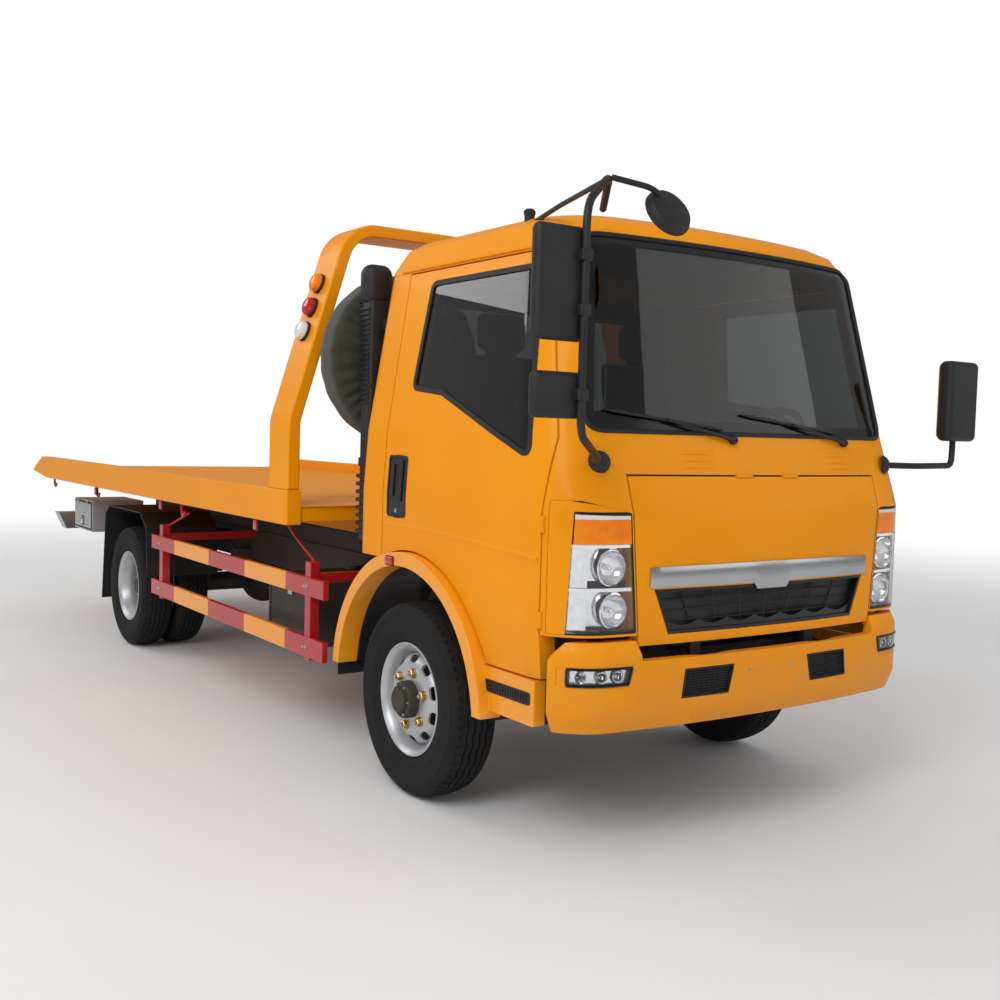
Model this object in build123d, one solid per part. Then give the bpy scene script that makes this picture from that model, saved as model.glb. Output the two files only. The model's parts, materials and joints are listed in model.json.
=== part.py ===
"""Rollback tow truck with a forward-control cab, a sliding bed and an underlift.

Millimetres. X runs forward from the front axle, Y to the truck's left, Z up from the ground.
Everything is drawn about the front axle and moved to the middle of the length when it is saved.
"""
from build123d import *
from math import asin, cos, hypot, pi, sin, sqrt
import os

# Running gear
WHEELBASE = 3600
REAR_X = -WHEELBASE
TYRE_R = 387.5
TYRE_W = 200
RIM_R = 203
RIM_FLANGE_R = 225
RIM_W = 164
RIM_WALL = 10
DISC_T = 10
HUB_R = 74
NUT_PCD_R = 111
HOLE_PCD_R = 160
HOLES = 10
HOLE_L = 54
HOLE_W = 28
FRONT_TRACK_Y = 826
TWIN_IN_Y = 633
TWIN_OUT_Y = 863
KINGPIN_Y = 705
KINGPIN_R = 20
SPINDLE_R = 32
FIT = 0.3
RUN = 1.0
CLEAR = 6

# Chassis
RAIL_Y = 375
RAIL_FLANGE = 62
RAIL_T = 8
RAIL_Z0 = 610
RAIL_H = 190
RAIL_FRONT = 900
RAIL_REAR = REAR_X - 1260
SPRING_W = 66
FRONT_SPRING_Y = 425
REAR_SPRING_Y = 446
LEAVES = 6
LEAF_T = 9
LEAF_STEP = 0.14
SPRING_SEAT = 90
AXLE_R = 62
TILT_FOOT = (REAR_X + 120, 690)
TILT_EYE = (REAR_X + 1400, 838)
TILT_CYL_Y = 215
# Crossmembers: X, bottom, top
CROSSMEMBERS = (
    (860, 618, 690),
    (-1180, 650, 770),
    (REAR_X + 1900, 618, 670),
    (REAR_X + 1150, 618, 670),
    (REAR_X + 550, 618, 670),
    (REAR_X + 40, 618, 670),
    (REAR_X - 550, 650, 770),
    (REAR_X - 930, 640, 770),
    (REAR_X - 1230, 768, 796),
)

# Cab shell: height, foremost X, half width, rear X
CAB = (
    (600, 1030, 900, -440),
    (800, 1040, 915, -450),
    (1200, 1040, 915, -450),
    (1450, 962, 900, -445),
    (2110, 838, 800, -425),
    (2200, 785, 748, -398),
    (2232, 728, 698, -360),
    (2252, 650, 630, -310),
)
ROOF_BEND_Z = 2150
CAB_WALL = 45
CAB_BOW = 45
CAB_CORNER = 190
CAB_REAR_R = 70
DOOR_GAP = 6
DOOR_FRONT = 845
DOOR_REAR = -225
DOOR_SILL = 630
HANDLE = ((-142, 1100), (-88, 1100), (-88, 1352), (-142, 1352))
HANDLE_DEEP = 12
DOOR_TOP = 2085
PILLAR_KNEE_Z = 1440
PILLAR_TOP_X = 690
WINDOW = ((-75, 1615), (150, 1592), (772, 1362), (668, 2040), (-45, 2040))
GLASS_T = 6
GLASS_SET = 5
SCREEN_Z0 = 1468
SCREEN_Z1 = 2150
SCREEN_Y0 = 775
SCREEN_Y1 = 684
REAR_WIN_Y = 560
REAR_WIN_Z0 = 1560
REAR_WIN_Z1 = 2000
LID_Z0 = 745
LID_Z1 = 1318
LID_Y0 = 600
LID_Y1 = 640
LID_KNEE_Z = 1225
LID_HINGE = (1003, 1319)
LID_PIN_R = 5
DOOR_HINGE = (848, 906)
DOOR_PIN_R = 6
DOOR_PINS = ((805, 860), (1125, 1180))
GRILLE_ROWS = 4
GRILLE_COLUMNS = 8
LAMP_Z0 = 790
LAMP_Z1 = 1235
LAMP_GAP = 10
# Round lenses: height, radius
LENSES = ((1013, 58), (868, 56))
LENS_RIM = 9
LENS_IN = 78
GROOVE_DEEP = 10
AMBER_Z = 1085
DASH_Y = 760
FLOOR_Z = 930
FLOOR_T = 35
ARCH_R = 530
FLARE_T = 55
FLARE_Y = 955
TILT_X = 985
TILT_Z = 650

# Bumper
BUMPER_X = 1062
BUMPER_Y = 912
BUMPER_END = 886
BUMPER_Z0 = 458
BUMPER_MID_Z = 698
BUMPER_TOP_Z = 765
BUMPER_T = 38
VENT_DEEP = 16

# Bed
BED_FRONT = -815
BED_TAIL = REAR_X - 2120
BED_Y = 1075
BED_LOW = 1015
BED_TOP = 1172
DECK_Z = 1102
DECK_T = 6
WINCH_BAY = 640
SIDE_T = 70
TAIL_BEVEL = 270
TAIL_DROP = 96
RUNNER_Y = 335
RUNNER_W = 80
SUB_W = 64
SUB_H = 92
SUB_FRONT = -1300
SUB_REAR = REAR_X - 1260
PIVOT_X = REAR_X - 1150
PIVOT_Z = 850

# Gantry on the bed's front
GANTRY_D = 220
GANTRY_T = 56
GANTRY_KNEE_Z = 1480
GANTRY_TOP_Z = 2386
GANTRY_CORNER_Y = 775
GANTRY_BEND = 172
GANTRY_LAMPS = (281, 391, 501)
LAMP_R = 46
LAMP_D = 44

# Guards, boxes and the underlift
GUARD_Y = 985
GUARD_FRONT = -620
GUARD_REAR = REAR_X + 600
GUARD_UPPER = (698, 781)
GUARD_LOWER = (421, 512)
GUARD_T = 26
TANK_FRONT = -1020
TANK_REAR = REAR_X + 1820
BOX_FRONT = REAR_X - 940
BOX_REAR = REAR_X - 1420
LIFT_X = REAR_X - 1000
BOOM_END = REAR_X - 1740
LIFT_Z = 655
BOOM_W = 150
BOOM_WALL = 10
BAR_X = REAR_X - 1900
BAR_Y = 950
BAR_H = 130
SOCKET_Y = 800
SOCKET_R = 22
MIRROR_REACH_X = 1236
MIRROR_REACH_Y = 1225

FRONT_AXLE_X = -(MIRROR_REACH_X + BED_TAIL) / 2
HUB_Z = TYRE_R
RAIL_TOP = RAIL_Z0 + RAIL_H
SIDES = ((-1, "right"), (1, "left"))


def box(x0, x1, y0, y1, z0, z1):
    return Pos((x0 + x1) / 2, (y0 + y1) / 2, (z0 + z1) / 2) * Box(abs(x1 - x0), abs(y1 - y0), abs(z1 - z0))


def rod(a, b, r):
    d = Vector(*b) - Vector(*a)
    return Plane(origin=a, z_dir=d) * Cylinder(r, d.length, align=(Align.CENTER, Align.CENTER, Align.MIN))


def side_plate(points, y0, y1):
    """A plate drawn in the X, Z plane and run from y0 to y1."""
    flat = make_face(Polyline([(x, 0, z) for x, z in points], close=True))
    return Pos(0, y1, 0) * extrude(flat, (y1 - y0), dir=(0, -1, 0))


def front_plate(points, x0, x1):
    """A plate drawn in the Y, Z plane and run from x0 to x1."""
    flat = make_face(Polyline([(0, y, z) for y, z in points], close=True))
    return Pos(x0, 0, 0) * extrude(flat, x1 - x0, dir=(1, 0, 0))


def flip(shape):
    return mirror(shape, about=Plane.XZ)


def both(shape):
    return [shape, flip(shape)]


def tube(points, r, bend):
    path = FilletPolyline(*points, radius=bend)
    start = Plane(origin=path @ 0, z_dir=path % 0)
    return sweep(start * Circle(r), path=path)


def spun(points):
    """A solid turned about the Y axis through the origin, from pairs of radius and Y."""
    flat = make_face(Polyline([(r, y, 0) for r, y in points], close=True))
    return revolve(flat, Axis.Y)


def save(name, *shapes):
    solids = []
    for shape in shapes:
        solids.extend(Pos(FRONT_AXLE_X, 0, 0) * solid for solid in shape.solids())
    whole = solids[0] if len(solids) == 1 else Compound(children=solids)
    export_step(whole, "parts/" + name + ".step")


def plan(z, front, half, rear):
    """The cab's outline at one height: bowed front, round corners, straight sides."""
    flat_y = half - CAB_CORNER
    bow_r = (flat_y ** 2 + CAB_BOW ** 2) / (2 * CAB_BOW)
    turn = pi / 2 - asin(flat_y / bow_r)
    r = CAB_CORNER / (1 - cos(turn))
    start_x = front - CAB_BOW - r * sin(turn)
    mid = (start_x + r * sin(turn / 2), half - r * (1 - cos(turn / 2)))
    k = CAB_REAR_R * (1 - sqrt(0.5))
    lines = [
        Line((rear + CAB_REAR_R, -half), (start_x, -half)),
        ThreePointArc((start_x, -half), (mid[0], -mid[1]), (front - CAB_BOW, -flat_y)),
        ThreePointArc((front - CAB_BOW, -flat_y), (front, 0), (front - CAB_BOW, flat_y)),
        ThreePointArc((front - CAB_BOW, flat_y), mid, (start_x, half)),
        Line((start_x, half), (rear + CAB_REAR_R, half)),
        ThreePointArc((rear + CAB_REAR_R, half), (rear + k, half - k), (rear, half - CAB_REAR_R)),
        Line((rear, half - CAB_REAR_R), (rear, -half + CAB_REAR_R)),
        ThreePointArc((rear, -half + CAB_REAR_R), (rear + k, -half + k), (rear + CAB_REAR_R, -half)),
    ]
    return Pos(0, 0, z) * make_face(lines)


def cab_form(inset, lower=0):
    sections = []
    for z, front, half, rear in CAB:
        drop = inset if z > ROOF_BEND_Z else 0
        if z == CAB[0][0]:
            drop = lower
        sections.append(plan(z - drop, front - inset, half - inset, rear + inset))
    return loft(sections, ruled=True)


os.makedirs("parts", exist_ok=True)

# Cab panels, cut from one shell where the real panels meet
outer = cab_form(0)
inner = cab_form(CAB_WALL, 20)
shell = outer - inner

screen_half = [(SCREEN_Y0, SCREEN_Z0), (SCREEN_Y1, SCREEN_Z1)]
screen_points = screen_half + [(-y, z) for y, z in reversed(screen_half)]
screen_tool = front_plate(screen_points, 450, 1200)
screen_tool = fillet(screen_tool.edges().filter_by(Axis.X), 60)
rear_window_tool = box(-600, -300, -REAR_WIN_Y, REAR_WIN_Y, REAR_WIN_Z0, REAR_WIN_Z1)
rear_window_tool = fillet(rear_window_tool.edges().filter_by(Axis.X), 50)
arch_tool = Pos(0, 0, HUB_Z) * Rot(90, 0, 0) * Cylinder(ARCH_R + FLARE_T + DOOR_GAP, 2400)


def door_outline(grow):
    return [
        (DOOR_REAR - grow, DOOR_SILL - grow),
        (DOOR_FRONT + grow, DOOR_SILL - grow),
        (DOOR_FRONT + grow, PILLAR_KNEE_Z),
        (PILLAR_TOP_X + grow, DOOR_TOP + grow),
        (DOOR_REAR - grow, DOOR_TOP + grow),
    ]


door_tool = side_plate(door_outline(0), -1000, -600)
window_tool = side_plate(WINDOW, -1100, -500)
window_tool = fillet(window_tool.edges().filter_by(Axis.Y), 40)
skin = cab_form(GLASS_SET) - cab_form(GLASS_SET + GLASS_T, 20)

door = (shell & door_tool) - arch_tool - window_tool
door -= (outer - cab_form(HANDLE_DEEP)) & side_plate(HANDLE, -1100, -500)
hx, hy = DOOR_HINGE
door_pins = []
for z0, z1 in DOOR_PINS:
    door -= rod((hx, -hy, z0 - CLEAR), (hx, -hy, z1 + CLEAR), DOOR_PIN_R + FIT)
    leaf = box(hx, hx + 14, -hy - 4, -hy + 16, z0, z1)
    door_pins.append(rod((hx, -hy, z0), (hx, -hy, z1), DOOR_PIN_R) + leaf)
door_glass = skin & window_tool
save("door_right", door)
save("door_left", flip(door))
save("door_glass_right", door_glass)
save("door_glass_left", flip(door_glass))

roof_z = DOOR_TOP + DOOR_GAP
save("cab_roof", (shell & box(-700, 1200, -1100, 1100, roof_z, 2400)) - screen_tool)
rear_block = box(-700, DOOR_REAR - DOOR_GAP, -1100, 1100, FLOOR_Z, roof_z)
save("cab_back", (shell & rear_block) - rear_window_tool - arch_tool)

lid_points = [
    (-LID_Y0, LID_Z0),
    (LID_Y0, LID_Z0),
    (LID_Y1, LID_KNEE_Z),
    (LID_Y1, LID_Z1),
    (-LID_Y1, LID_Z1),
    (-LID_Y1, LID_KNEE_Z),
]
lid_hole = [
    (-LID_Y0 - CLEAR, 400),
    (LID_Y0 + CLEAR, 400),
    (LID_Y0 + CLEAR, LID_Z0),
    (LID_Y1 + CLEAR, LID_KNEE_Z),
    (LID_Y1 + CLEAR, LID_Z1 + CLEAR),
    (-LID_Y1 - CLEAR, LID_Z1 + CLEAR),
    (-LID_Y1 - CLEAR, LID_KNEE_Z),
    (-LID_Y0 - CLEAR, LID_Z0),
]
lid_lean = (LID_Y1 - LID_Y0) / (LID_KNEE_Z - LID_Z0)
lamp_low = LID_Y0 + lid_lean * (LAMP_Z0 - LID_Z0) + LAMP_GAP
lamp_high = LID_Y0 + lid_lean * (LAMP_Z1 - 40 - LID_Z0) + LAMP_GAP
lamp_points = [
    (-lamp_low, LAMP_Z0),
    (-lamp_high, LAMP_Z1 - 40),
    (-lamp_high - 170, LAMP_Z1),
    (-1000, LAMP_Z1),
    (-1000, LAMP_Z0),
]
lamp_tool = front_plate(lamp_points, 870, 1200)
front_block = side_plate(
    [
        (DOOR_FRONT + DOOR_GAP, LAMP_Z0 - 8),
        (1200, LAMP_Z0 - 8),
        (1200, roof_z),
        (PILLAR_TOP_X + DOOR_GAP, roof_z),
        (DOOR_FRONT + DOOR_GAP, PILLAR_KNEE_Z),
    ],
    -1100,
    1100,
)
front = (shell & front_block) - screen_tool - front_plate(lid_hole, 500, 1200) - lamp_tool - flip(lamp_tool)
for pin in door_pins:
    front += pin + flip(pin)
lx, lz = LID_HINGE
for s in (-1, 1):
    front += rod((lx, s * 80, lz), (lx, s * 160, lz), LID_PIN_R)
    front += box(lx - 14, lx + 1, s * 80, s * 160, lz, lz + 14)
save("cab_front", front)
lamp = (outer - cab_form(CAB_WALL - 5)) & lamp_tool
grooves = [box(800, 1200, -1000, 0, AMBER_Z - 5, AMBER_Z + 5)]
for z, r in LENSES:
    y = LID_Y0 + lid_lean * (z - LID_Z0) + LAMP_GAP + LENS_IN
    lens = rod((800, -y, z), (1200, -y, z), r)
    grooves.append(lens - rod((800, -y, z), (1200, -y, z), r - LENS_RIM))
for groove in grooves:
    lamp -= (outer - cab_form(GROOVE_DEEP)) & groove
save("headlamps", *both(lamp))
save("cab_glass", skin & screen_tool, skin & rear_window_tool)

lid = shell & front_plate(lid_points, 700, 1200)
grille_hole = front_plate([(-480, 778), (480, 778), (545, 935), (-545, 935)], 700, 1200)
lid = lid - grille_hole
for s in (-1, 1):
    lid -= rod((lx, s * 80 - s * CLEAR, lz), (lx, s * 160 + s * CLEAR, lz), LID_PIN_R + FIT)
save("front_lid", lid)
grille = (cab_form(12) - cab_form(34)) & grille_hole
slots = []
for row in range(GRILLE_ROWS):
    z = 796 + row * 33
    for column in range(GRILLE_COLUMNS):
        y = (column - (GRILLE_COLUMNS - 1) / 2) * 118
        slots.append(box(700, 1200, y - 53, y + 53, z, z + 23))
grille = grille - slots
bar = (cab_form(-12) - outer) & front_plate([(-545, 940), (545, 940), (565, 1012), (-565, 1012)], 700, 1200)
save("grille", grille, bar)

slab = box(-700, 1200, -1100, 1100, FLOOR_Z, FLOOR_Z + FLOOR_T)
floor_ends = box(-700, DOOR_REAR - DOOR_GAP, -1100, 1100, 0, 2000)
floor_ends += box(DOOR_FRONT + DOOR_GAP, 965, -1100, 1100, 0, 2000)
floor = cab_form(CAB_WALL + CLEAR, 20) & slab & box(-700, 960, -1100, 1100, 0, 2000)
floor += cab_form(CAB_WALL + FIT, 20) & slab & floor_ends
for s in (-1, 1):
    arm_points = [
        (925, FLOOR_Z + 5),
        (960, FLOOR_Z + 5),
        (TILT_X - 12, TILT_Z + 25),
        (TILT_X + 5, TILT_Z),
        (TILT_X, TILT_Z - 25),
        (TILT_X - 27, TILT_Z),
    ]
    arm = side_plate(arm_points, -25, 25) + rod((TILT_X, -25, TILT_Z), (TILT_X, 25, TILT_Z), 28)
    floor += Pos(0, s * 300, 0) * arm
pin_bore = rod((TILT_X, -500, TILT_Z), (TILT_X, 500, TILT_Z), 16 + FIT)
save("cab_floor", floor - pin_bore)

dash_points = [(620, 1120), (900, 1080), (1100, 1080), (1100, 1425), (760, 1400), (640, 1300)]
dash = cab_form(CAB_WALL + 60, 20) & side_plate(dash_points, -DASH_Y, DASH_Y)
dash += cab_form(CAB_WALL + FIT, 20) & box(800, 1100, -DASH_Y, DASH_Y, LID_Z1 + 24, 1395)
column = rod((553, 430, 1400), (700, 430, 1290), 30)
wheel_plane = Plane(origin=(553, 430, 1400), z_dir=(-140, 0, 105))
rim = wheel_plane * Torus(215, 15)
hub = wheel_plane * Cylinder(50, 30, align=(Align.CENTER, Align.CENTER, Align.MIN))
spokes = wheel_plane * (Box(420, 30, 12) + Pos(0, -105, 0) * Box(34, 210, 12))
save("dashboard", dash + column + rim + hub + spokes)

seats = []
for y0, y1 in ((-760, 60), (180, 690)):
    pan = fillet(box(-150, 330, y0, y1, FLOOR_Z + FLOOR_T + 215, FLOOR_Z + FLOOR_T + 345).edges(), 30)
    base = box(-140, 300, y0 + 40, y1 - 40, FLOOR_Z + FLOOR_T, FLOOR_Z + FLOOR_T + 220)
    back = side_plate([(-170, 1200), (-40, 1200), (-170, 1800), (-270, 1800)], y0, y1)
    head = box(-262, -180, (y0 + y1) / 2 - 130, (y0 + y1) / 2 + 130, 1790, 1985)
    seats.append(pan + base + fillet(back.edges().filter_by(Axis.Y), 25) + head)
save("seats", *seats)

# Wheel arches with the steps under the doors
arch = []
for s, name in SIDES:
    ring = Cylinder(ARCH_R + FLARE_T, 90) - Cylinder(ARCH_R, 100)
    ring = Pos(0, s * (FLARE_Y - 45), HUB_Z) * Rot(90, 0, 0) * ring
    ring = ring & box(-800, 800, -1100, 1100, 440, 1200)
    liner = Pos(0, s * 720, HUB_Z) * Rot(90, 0, 0) * (Cylinder(ARCH_R + 12, 300) - Cylinder(ARCH_R, 310))
    liner = liner & box(-800, 800, -1100, 1100, 440, FLOOR_Z - FIT)
    step = box(440, 840, min(s * 912, s * 640), max(s * 912, s * 640), 468, DOOR_SILL - DOOR_GAP)
    step = step - Pos(0, 0, HUB_Z) * Rot(90, 0, 0) * Cylinder(ARCH_R, 2400)
    step = step - box(460, 800, -870, 870, 500, 700)
    arch.append(ring + liner + step)
save("wheel_arches", *arch)

# Mirrors
mx = MIRROR_REACH_X
my = MIRROR_REACH_Y
hoop = [(905, -740, 1362), (mx - 226, -800, 1370), (mx - 44, 173 - my, 1452), (mx - 56, 173 - my, 2120)]
hoop += [(mx - 161, -850, 2262), (820, -660, 2222)]
right = tube(hoop, 13, 40)
right += tube([(mx - 136, -900, 2230), (700, -760, 2235), (430, -690, 2210)], 9, 30)
right += tube([(mx - 151, -850, 2255), (mx - 96, -720, 2230), (mx - 86, -665, 2180)], 10, 20)
right += fillet(box(mx - 50, mx, 7 - my, 195 - my, 1725, 2062).edges(), 24)
right += fillet(box(mx - 46, mx, 7 - my, 195 - my, 1498, 1636).edges(), 20)
right += Pos(mx - 86, -663, 2165) * Rot(0, 60, 0) * Cylinder(84, 44)
right = right - cab_form(-FIT)
post_y = my - 120
stalk = [(900, 740, 1362), (1000, 880, 1362), (1010, post_y - 5, 1366)]
stalk += [(1010, post_y, 1420), (1010, post_y, 1780)]
left = tube(stalk, 13, 30)
left += fillet(box(975, 1045, my - 195, my, 1468, 1800).edges(), 24)
left = left - cab_form(-FIT)
save("mirrors", right, left)

# Bumper on the chassis
def bumper_form(inset):
    rows = ((BUMPER_Z0 - 1, -22, -14), (525, 0, 0), (720, 0, 0), (BUMPER_TOP_Z + 1, -22, -6))
    sections = [plan(z, BUMPER_X + dx - inset, BUMPER_Y + dy - inset, -400) for z, dx, dy in rows]
    return loft(sections, ruled=True)


bumper = bumper_form(0) - bumper_form(BUMPER_T)
bumper = bumper & box(BUMPER_END, 1200, -1100, 1100, BUMPER_Z0, BUMPER_TOP_Z)
mid_cut = front_plate([(-640, 900), (-600, BUMPER_MID_Z), (600, BUMPER_MID_Z), (640, 900)], 800, 1200)
fog_points = [(-900, 682), (-640, 682), (-655, 622), (-900, 622)]
fog_tool = front_plate(fog_points, 915, 1200)
vents = []
for s in (-1, 1):
    vents.append(front_plate([(s * 190, 658), (s * 418, 658), (s * 432, 556), (s * 214, 556)], 800, 1200))
door_sweep = side_plate([(800, 690), (BUMPER_END - 6, 690), (BUMPER_END + 42, 770), (800, 770)], -1100, 1100)
bumper = bumper - mid_cut - fog_tool - flip(fog_tool) - door_sweep
for vent in vents:
    bumper = bumper - (vent - bumper_form(VENT_DEEP))
for s in (-1, 1):
    bumper -= box(900, 1100, s * 300 - 33, s * 300 + 33, 640, 800) & bumper_form(BUMPER_T / 2)
    bumper += box(RAIL_FRONT + FIT, BUMPER_X - 20, s * RAIL_Y, s * (RAIL_Y - 18), 490, 540)
    bumper += box(RAIL_FRONT + FIT, RAIL_FRONT + 12, s * RAIL_Y, s * (RAIL_Y - 18), 490, 700)
save("bumper", bumper)
fog = (bumper_form(3) - bumper_form(30)) & fog_tool

# Chassis frame
channel = [(RAIL_Y, RAIL_Z0), (RAIL_Y, RAIL_TOP)]
channel += [(RAIL_Y - RAIL_FLANGE, RAIL_TOP), (RAIL_Y - RAIL_FLANGE, RAIL_TOP - RAIL_T)]
channel += [(RAIL_Y - RAIL_T, RAIL_TOP - RAIL_T), (RAIL_Y - RAIL_T, RAIL_Z0 + RAIL_T)]
channel += [(RAIL_Y - RAIL_FLANGE, RAIL_Z0 + RAIL_T), (RAIL_Y - RAIL_FLANGE, RAIL_Z0)]
rail = front_plate(channel, RAIL_REAR, RAIL_FRONT)
frame = rail + flip(rail)
for x, z0, z1 in CROSSMEMBERS:
    frame += box(x - 30, x + 30, -RAIL_Y + 4, RAIL_Y - 4, z0, z1)
foot_x, foot_z = TILT_FOOT
lug_points = [
    (foot_x - 110, RAIL_Z0 + 20),
    (foot_x + 30, RAIL_Z0 + 20),
    (foot_x + 30, foot_z + 30),
    (foot_x - 30, foot_z + 30),
]
lug = side_plate(lug_points, -6, 6)
for s in (-1, 1):
    for y in (TILT_CYL_Y - 38, TILT_CYL_Y + 38):
        frame += Pos(0, s * y, 0) * lug
    frame += rod((foot_x, s * (TILT_CYL_Y - 40), foot_z), (foot_x, s * (TILT_CYL_Y + 40), foot_z), 18)
cab_ear = [
    (RAIL_FRONT - 100, RAIL_Z0),
    (TILT_X + 24, TILT_Z - 30),
    (TILT_X + 24, TILT_Z + 30),
    (RAIL_FRONT - 100, RAIL_Z0 + 120),
]
bed_ear = [
    (PIVOT_X - 60, RAIL_TOP - 80),
    (PIVOT_X + 60, RAIL_TOP - 80),
    (PIVOT_X + 35, PIVOT_Z + 35),
    (PIVOT_X - 35, PIVOT_Z + 35),
]
lift_ear = [
    (LIFT_X + 60, LIFT_Z - 10),
    (LIFT_X + 60, LIFT_Z + 100),
    (LIFT_X - 42, LIFT_Z + 45),
    (LIFT_X - 42, LIFT_Z - 45),
]
for s in (-1, 1):
    frame += box(-380, -290, s * 315, s * RAIL_Y, RAIL_TOP - 5, FLOOR_Z - FIT)
    frame += Pos(0, s * 345, 0) * side_plate(cab_ear, -7, 7)
    frame += rod((TILT_X, s * 270, TILT_Z), (TILT_X, s * 345, TILT_Z), 16)
    frame += Pos(0, s * (RAIL_Y + 6), 0) * side_plate(bed_ear, -8, 8)
    frame += rod((PIVOT_X, s * (RUNNER_Y - SUB_W / 2 - 8), PIVOT_Z), (PIVOT_X, s * (RAIL_Y + 8), PIVOT_Z), 22)
    frame += Pos(0, s * (BOOM_W / 2 + 6 + 10), 0) * side_plate(lift_ear, -10, 10)
frame += rod((LIFT_X, -BOOM_W / 2 - 26, LIFT_Z), (LIFT_X, BOOM_W / 2 + 26, LIFT_Z), 24)
save("chassis_frame", frame)

engine = box(-560, 560, -245, 245, 470, 905) + box(-300, 400, -180, 180, 420, 480)
engine += rod((-540, 0, 640), (-1080, 0, 600), 150)
shaft = rod((-1040, 0, 590), (REAR_X + 217.5, 0, HUB_Z + 30), 42)
engine += shaft
for s in (-1, 1):
    engine += box(110, 200, s * 200, s * (RAIL_Y - RAIL_T - FIT), 690, 740)
save("driveline", engine)

beam = box(-42, 42, -640, 640, 262, 352) + box(-48, 48, -FRONT_SPRING_Y - 45, -FRONT_SPRING_Y + 45, 300, 420)
beam += box(-48, 48, FRONT_SPRING_Y - 45, FRONT_SPRING_Y + 45, 300, 420)
for s in (-1, 1):
    beam += rod((0, s * KINGPIN_Y, 330), (0, s * KINGPIN_Y, 445), 44)
    beam += box(-36, 36, s * 600, s * KINGPIN_Y, 335, 420)
    beam += box(-42, 42, s * 580, s * 640, 262, 420)
    beam -= rod((0, s * KINGPIN_Y, 300), (0, s * KINGPIN_Y, 460), KINGPIN_R + FIT)
save("front_axle", beam)

springs = []
# Springs: middle X, middle Y, underside, half length
SPRINGS = (
    (0, FRONT_SPRING_Y, 420 + FIT, 560),
    (REAR_X, REAR_SPRING_Y, HUB_Z + AXLE_R + 12 + FIT, 640),
)
for cx, y, low, half in SPRINGS:
    middle = low + LEAVES * LEAF_T
    eye_z = RAIL_Z0 - 40
    slope = (eye_z + LEAF_T / 2 - middle) / (half - SPRING_SEAT)
    for s in (-1, 1):
        pack = box(cx - 60, cx + 60, s * y - SPRING_W / 2, s * y + SPRING_W / 2, middle - 1, middle + 12)
        for i in range(LEAVES):
            reach = half * (1 - LEAF_STEP * i)
            top = middle - i * LEAF_T
            end = top + slope * (reach - SPRING_SEAT)
            leaf = [(cx - reach, end), (cx - SPRING_SEAT, top), (cx + SPRING_SEAT, top), (cx + reach, end)]
            leaf += [(x, z - LEAF_T) for x, z in reversed(leaf)]
            pack += Pos(0, s * y, 0) * side_plate(leaf, -SPRING_W / 2, SPRING_W / 2)
        inner = s * (RAIL_Y + FIT)
        outer_y = s * (y + SPRING_W / 2)
        for e in (-1, 1):
            eye_x = cx + e * (half - 5)
            pack += rod((eye_x, s * (y - SPRING_W / 2), eye_z), (eye_x, outer_y, eye_z), 27)
            hanger = [
                (eye_x - 26, eye_z - 20),
                (eye_x + 26, eye_z - 20),
                (eye_x + 50, RAIL_Z0 + 70),
                (eye_x - 50, RAIL_Z0 + 70),
            ]
            pack += side_plate(hanger, min(inner, outer_y), max(inner, outer_y))
        springs.append(pack)
save("leaf_springs", *springs)

axle = rod((REAR_X, -560, HUB_Z), (REAR_X, 560, HUB_Z), AXLE_R) + Pos(REAR_X, 0, HUB_Z) * Sphere(160)
axle += rod((REAR_X, 0, HUB_Z + 26), (REAR_X + 214.7, 0, HUB_Z + 30), 70)
axle += rod((REAR_X, -800, HUB_Z), (REAR_X, 800, HUB_Z), SPINDLE_R)
for s in (-1, 1):
    seat_y = s * REAR_SPRING_Y
    axle += box(REAR_X - 60, REAR_X + 60, seat_y - 40, seat_y + 40, HUB_Z, HUB_Z + AXLE_R + 12)
save("rear_axle", axle)

# Steering
ARM_X = -170
ARM_Y = KINGPIN_Y
for s, name in SIDES:
    knuckle = box(-38, 38, s * (KINGPIN_Y - 36), s * (KINGPIN_Y + 70), 452, 476)
    knuckle += box(-38, 38, s * (KINGPIN_Y - 36), s * (KINGPIN_Y + 70), 296, 322)
    knuckle += box(-38, 38, s * (KINGPIN_Y + 52), s * (KINGPIN_Y + 70), 296, 476)
    knuckle += rod((0, s * KINGPIN_Y, 300), (0, s * KINGPIN_Y, 470), KINGPIN_R)
    knuckle += rod((0, s * (KINGPIN_Y + 60), HUB_Z), (0, s * (FRONT_TRACK_Y + 115), HUB_Z), SPINDLE_R)
    knuckle += rod((0, s * (KINGPIN_Y + 60), HUB_Z), (0, s * (KINGPIN_Y + 78), HUB_Z), 130)
    arm_points = [
        (0, KINGPIN_Y - 30),
        (0, KINGPIN_Y + 25),
        (ARM_X - 24, ARM_Y + 24),
        (ARM_X - 24, ARM_Y - 24),
        (ARM_X + 20, ARM_Y - 24),
    ]
    arm = Polyline([(x, s * y) for x, y in arm_points], close=True)
    knuckle += Pos(0, 0, 296) * extrude(make_face(arm), 24, dir=(0, 0, 1))
    knuckle += rod((ARM_X, s * ARM_Y, 255), (ARM_X, s * ARM_Y, 300), 11)
    save("knuckle_" + name, knuckle)
tie = rod((ARM_X, -ARM_Y, 270), (ARM_X, ARM_Y, 270), 14)
for s in (-1, 1):
    tie += rod((ARM_X, s * ARM_Y, 256), (ARM_X, s * ARM_Y, 286), 24)
for s in (-1, 1):
    tie -= rod((ARM_X, s * ARM_Y, 240), (ARM_X, s * ARM_Y, 300), 11 + RUN)
save("tie_rod", tie)

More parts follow.
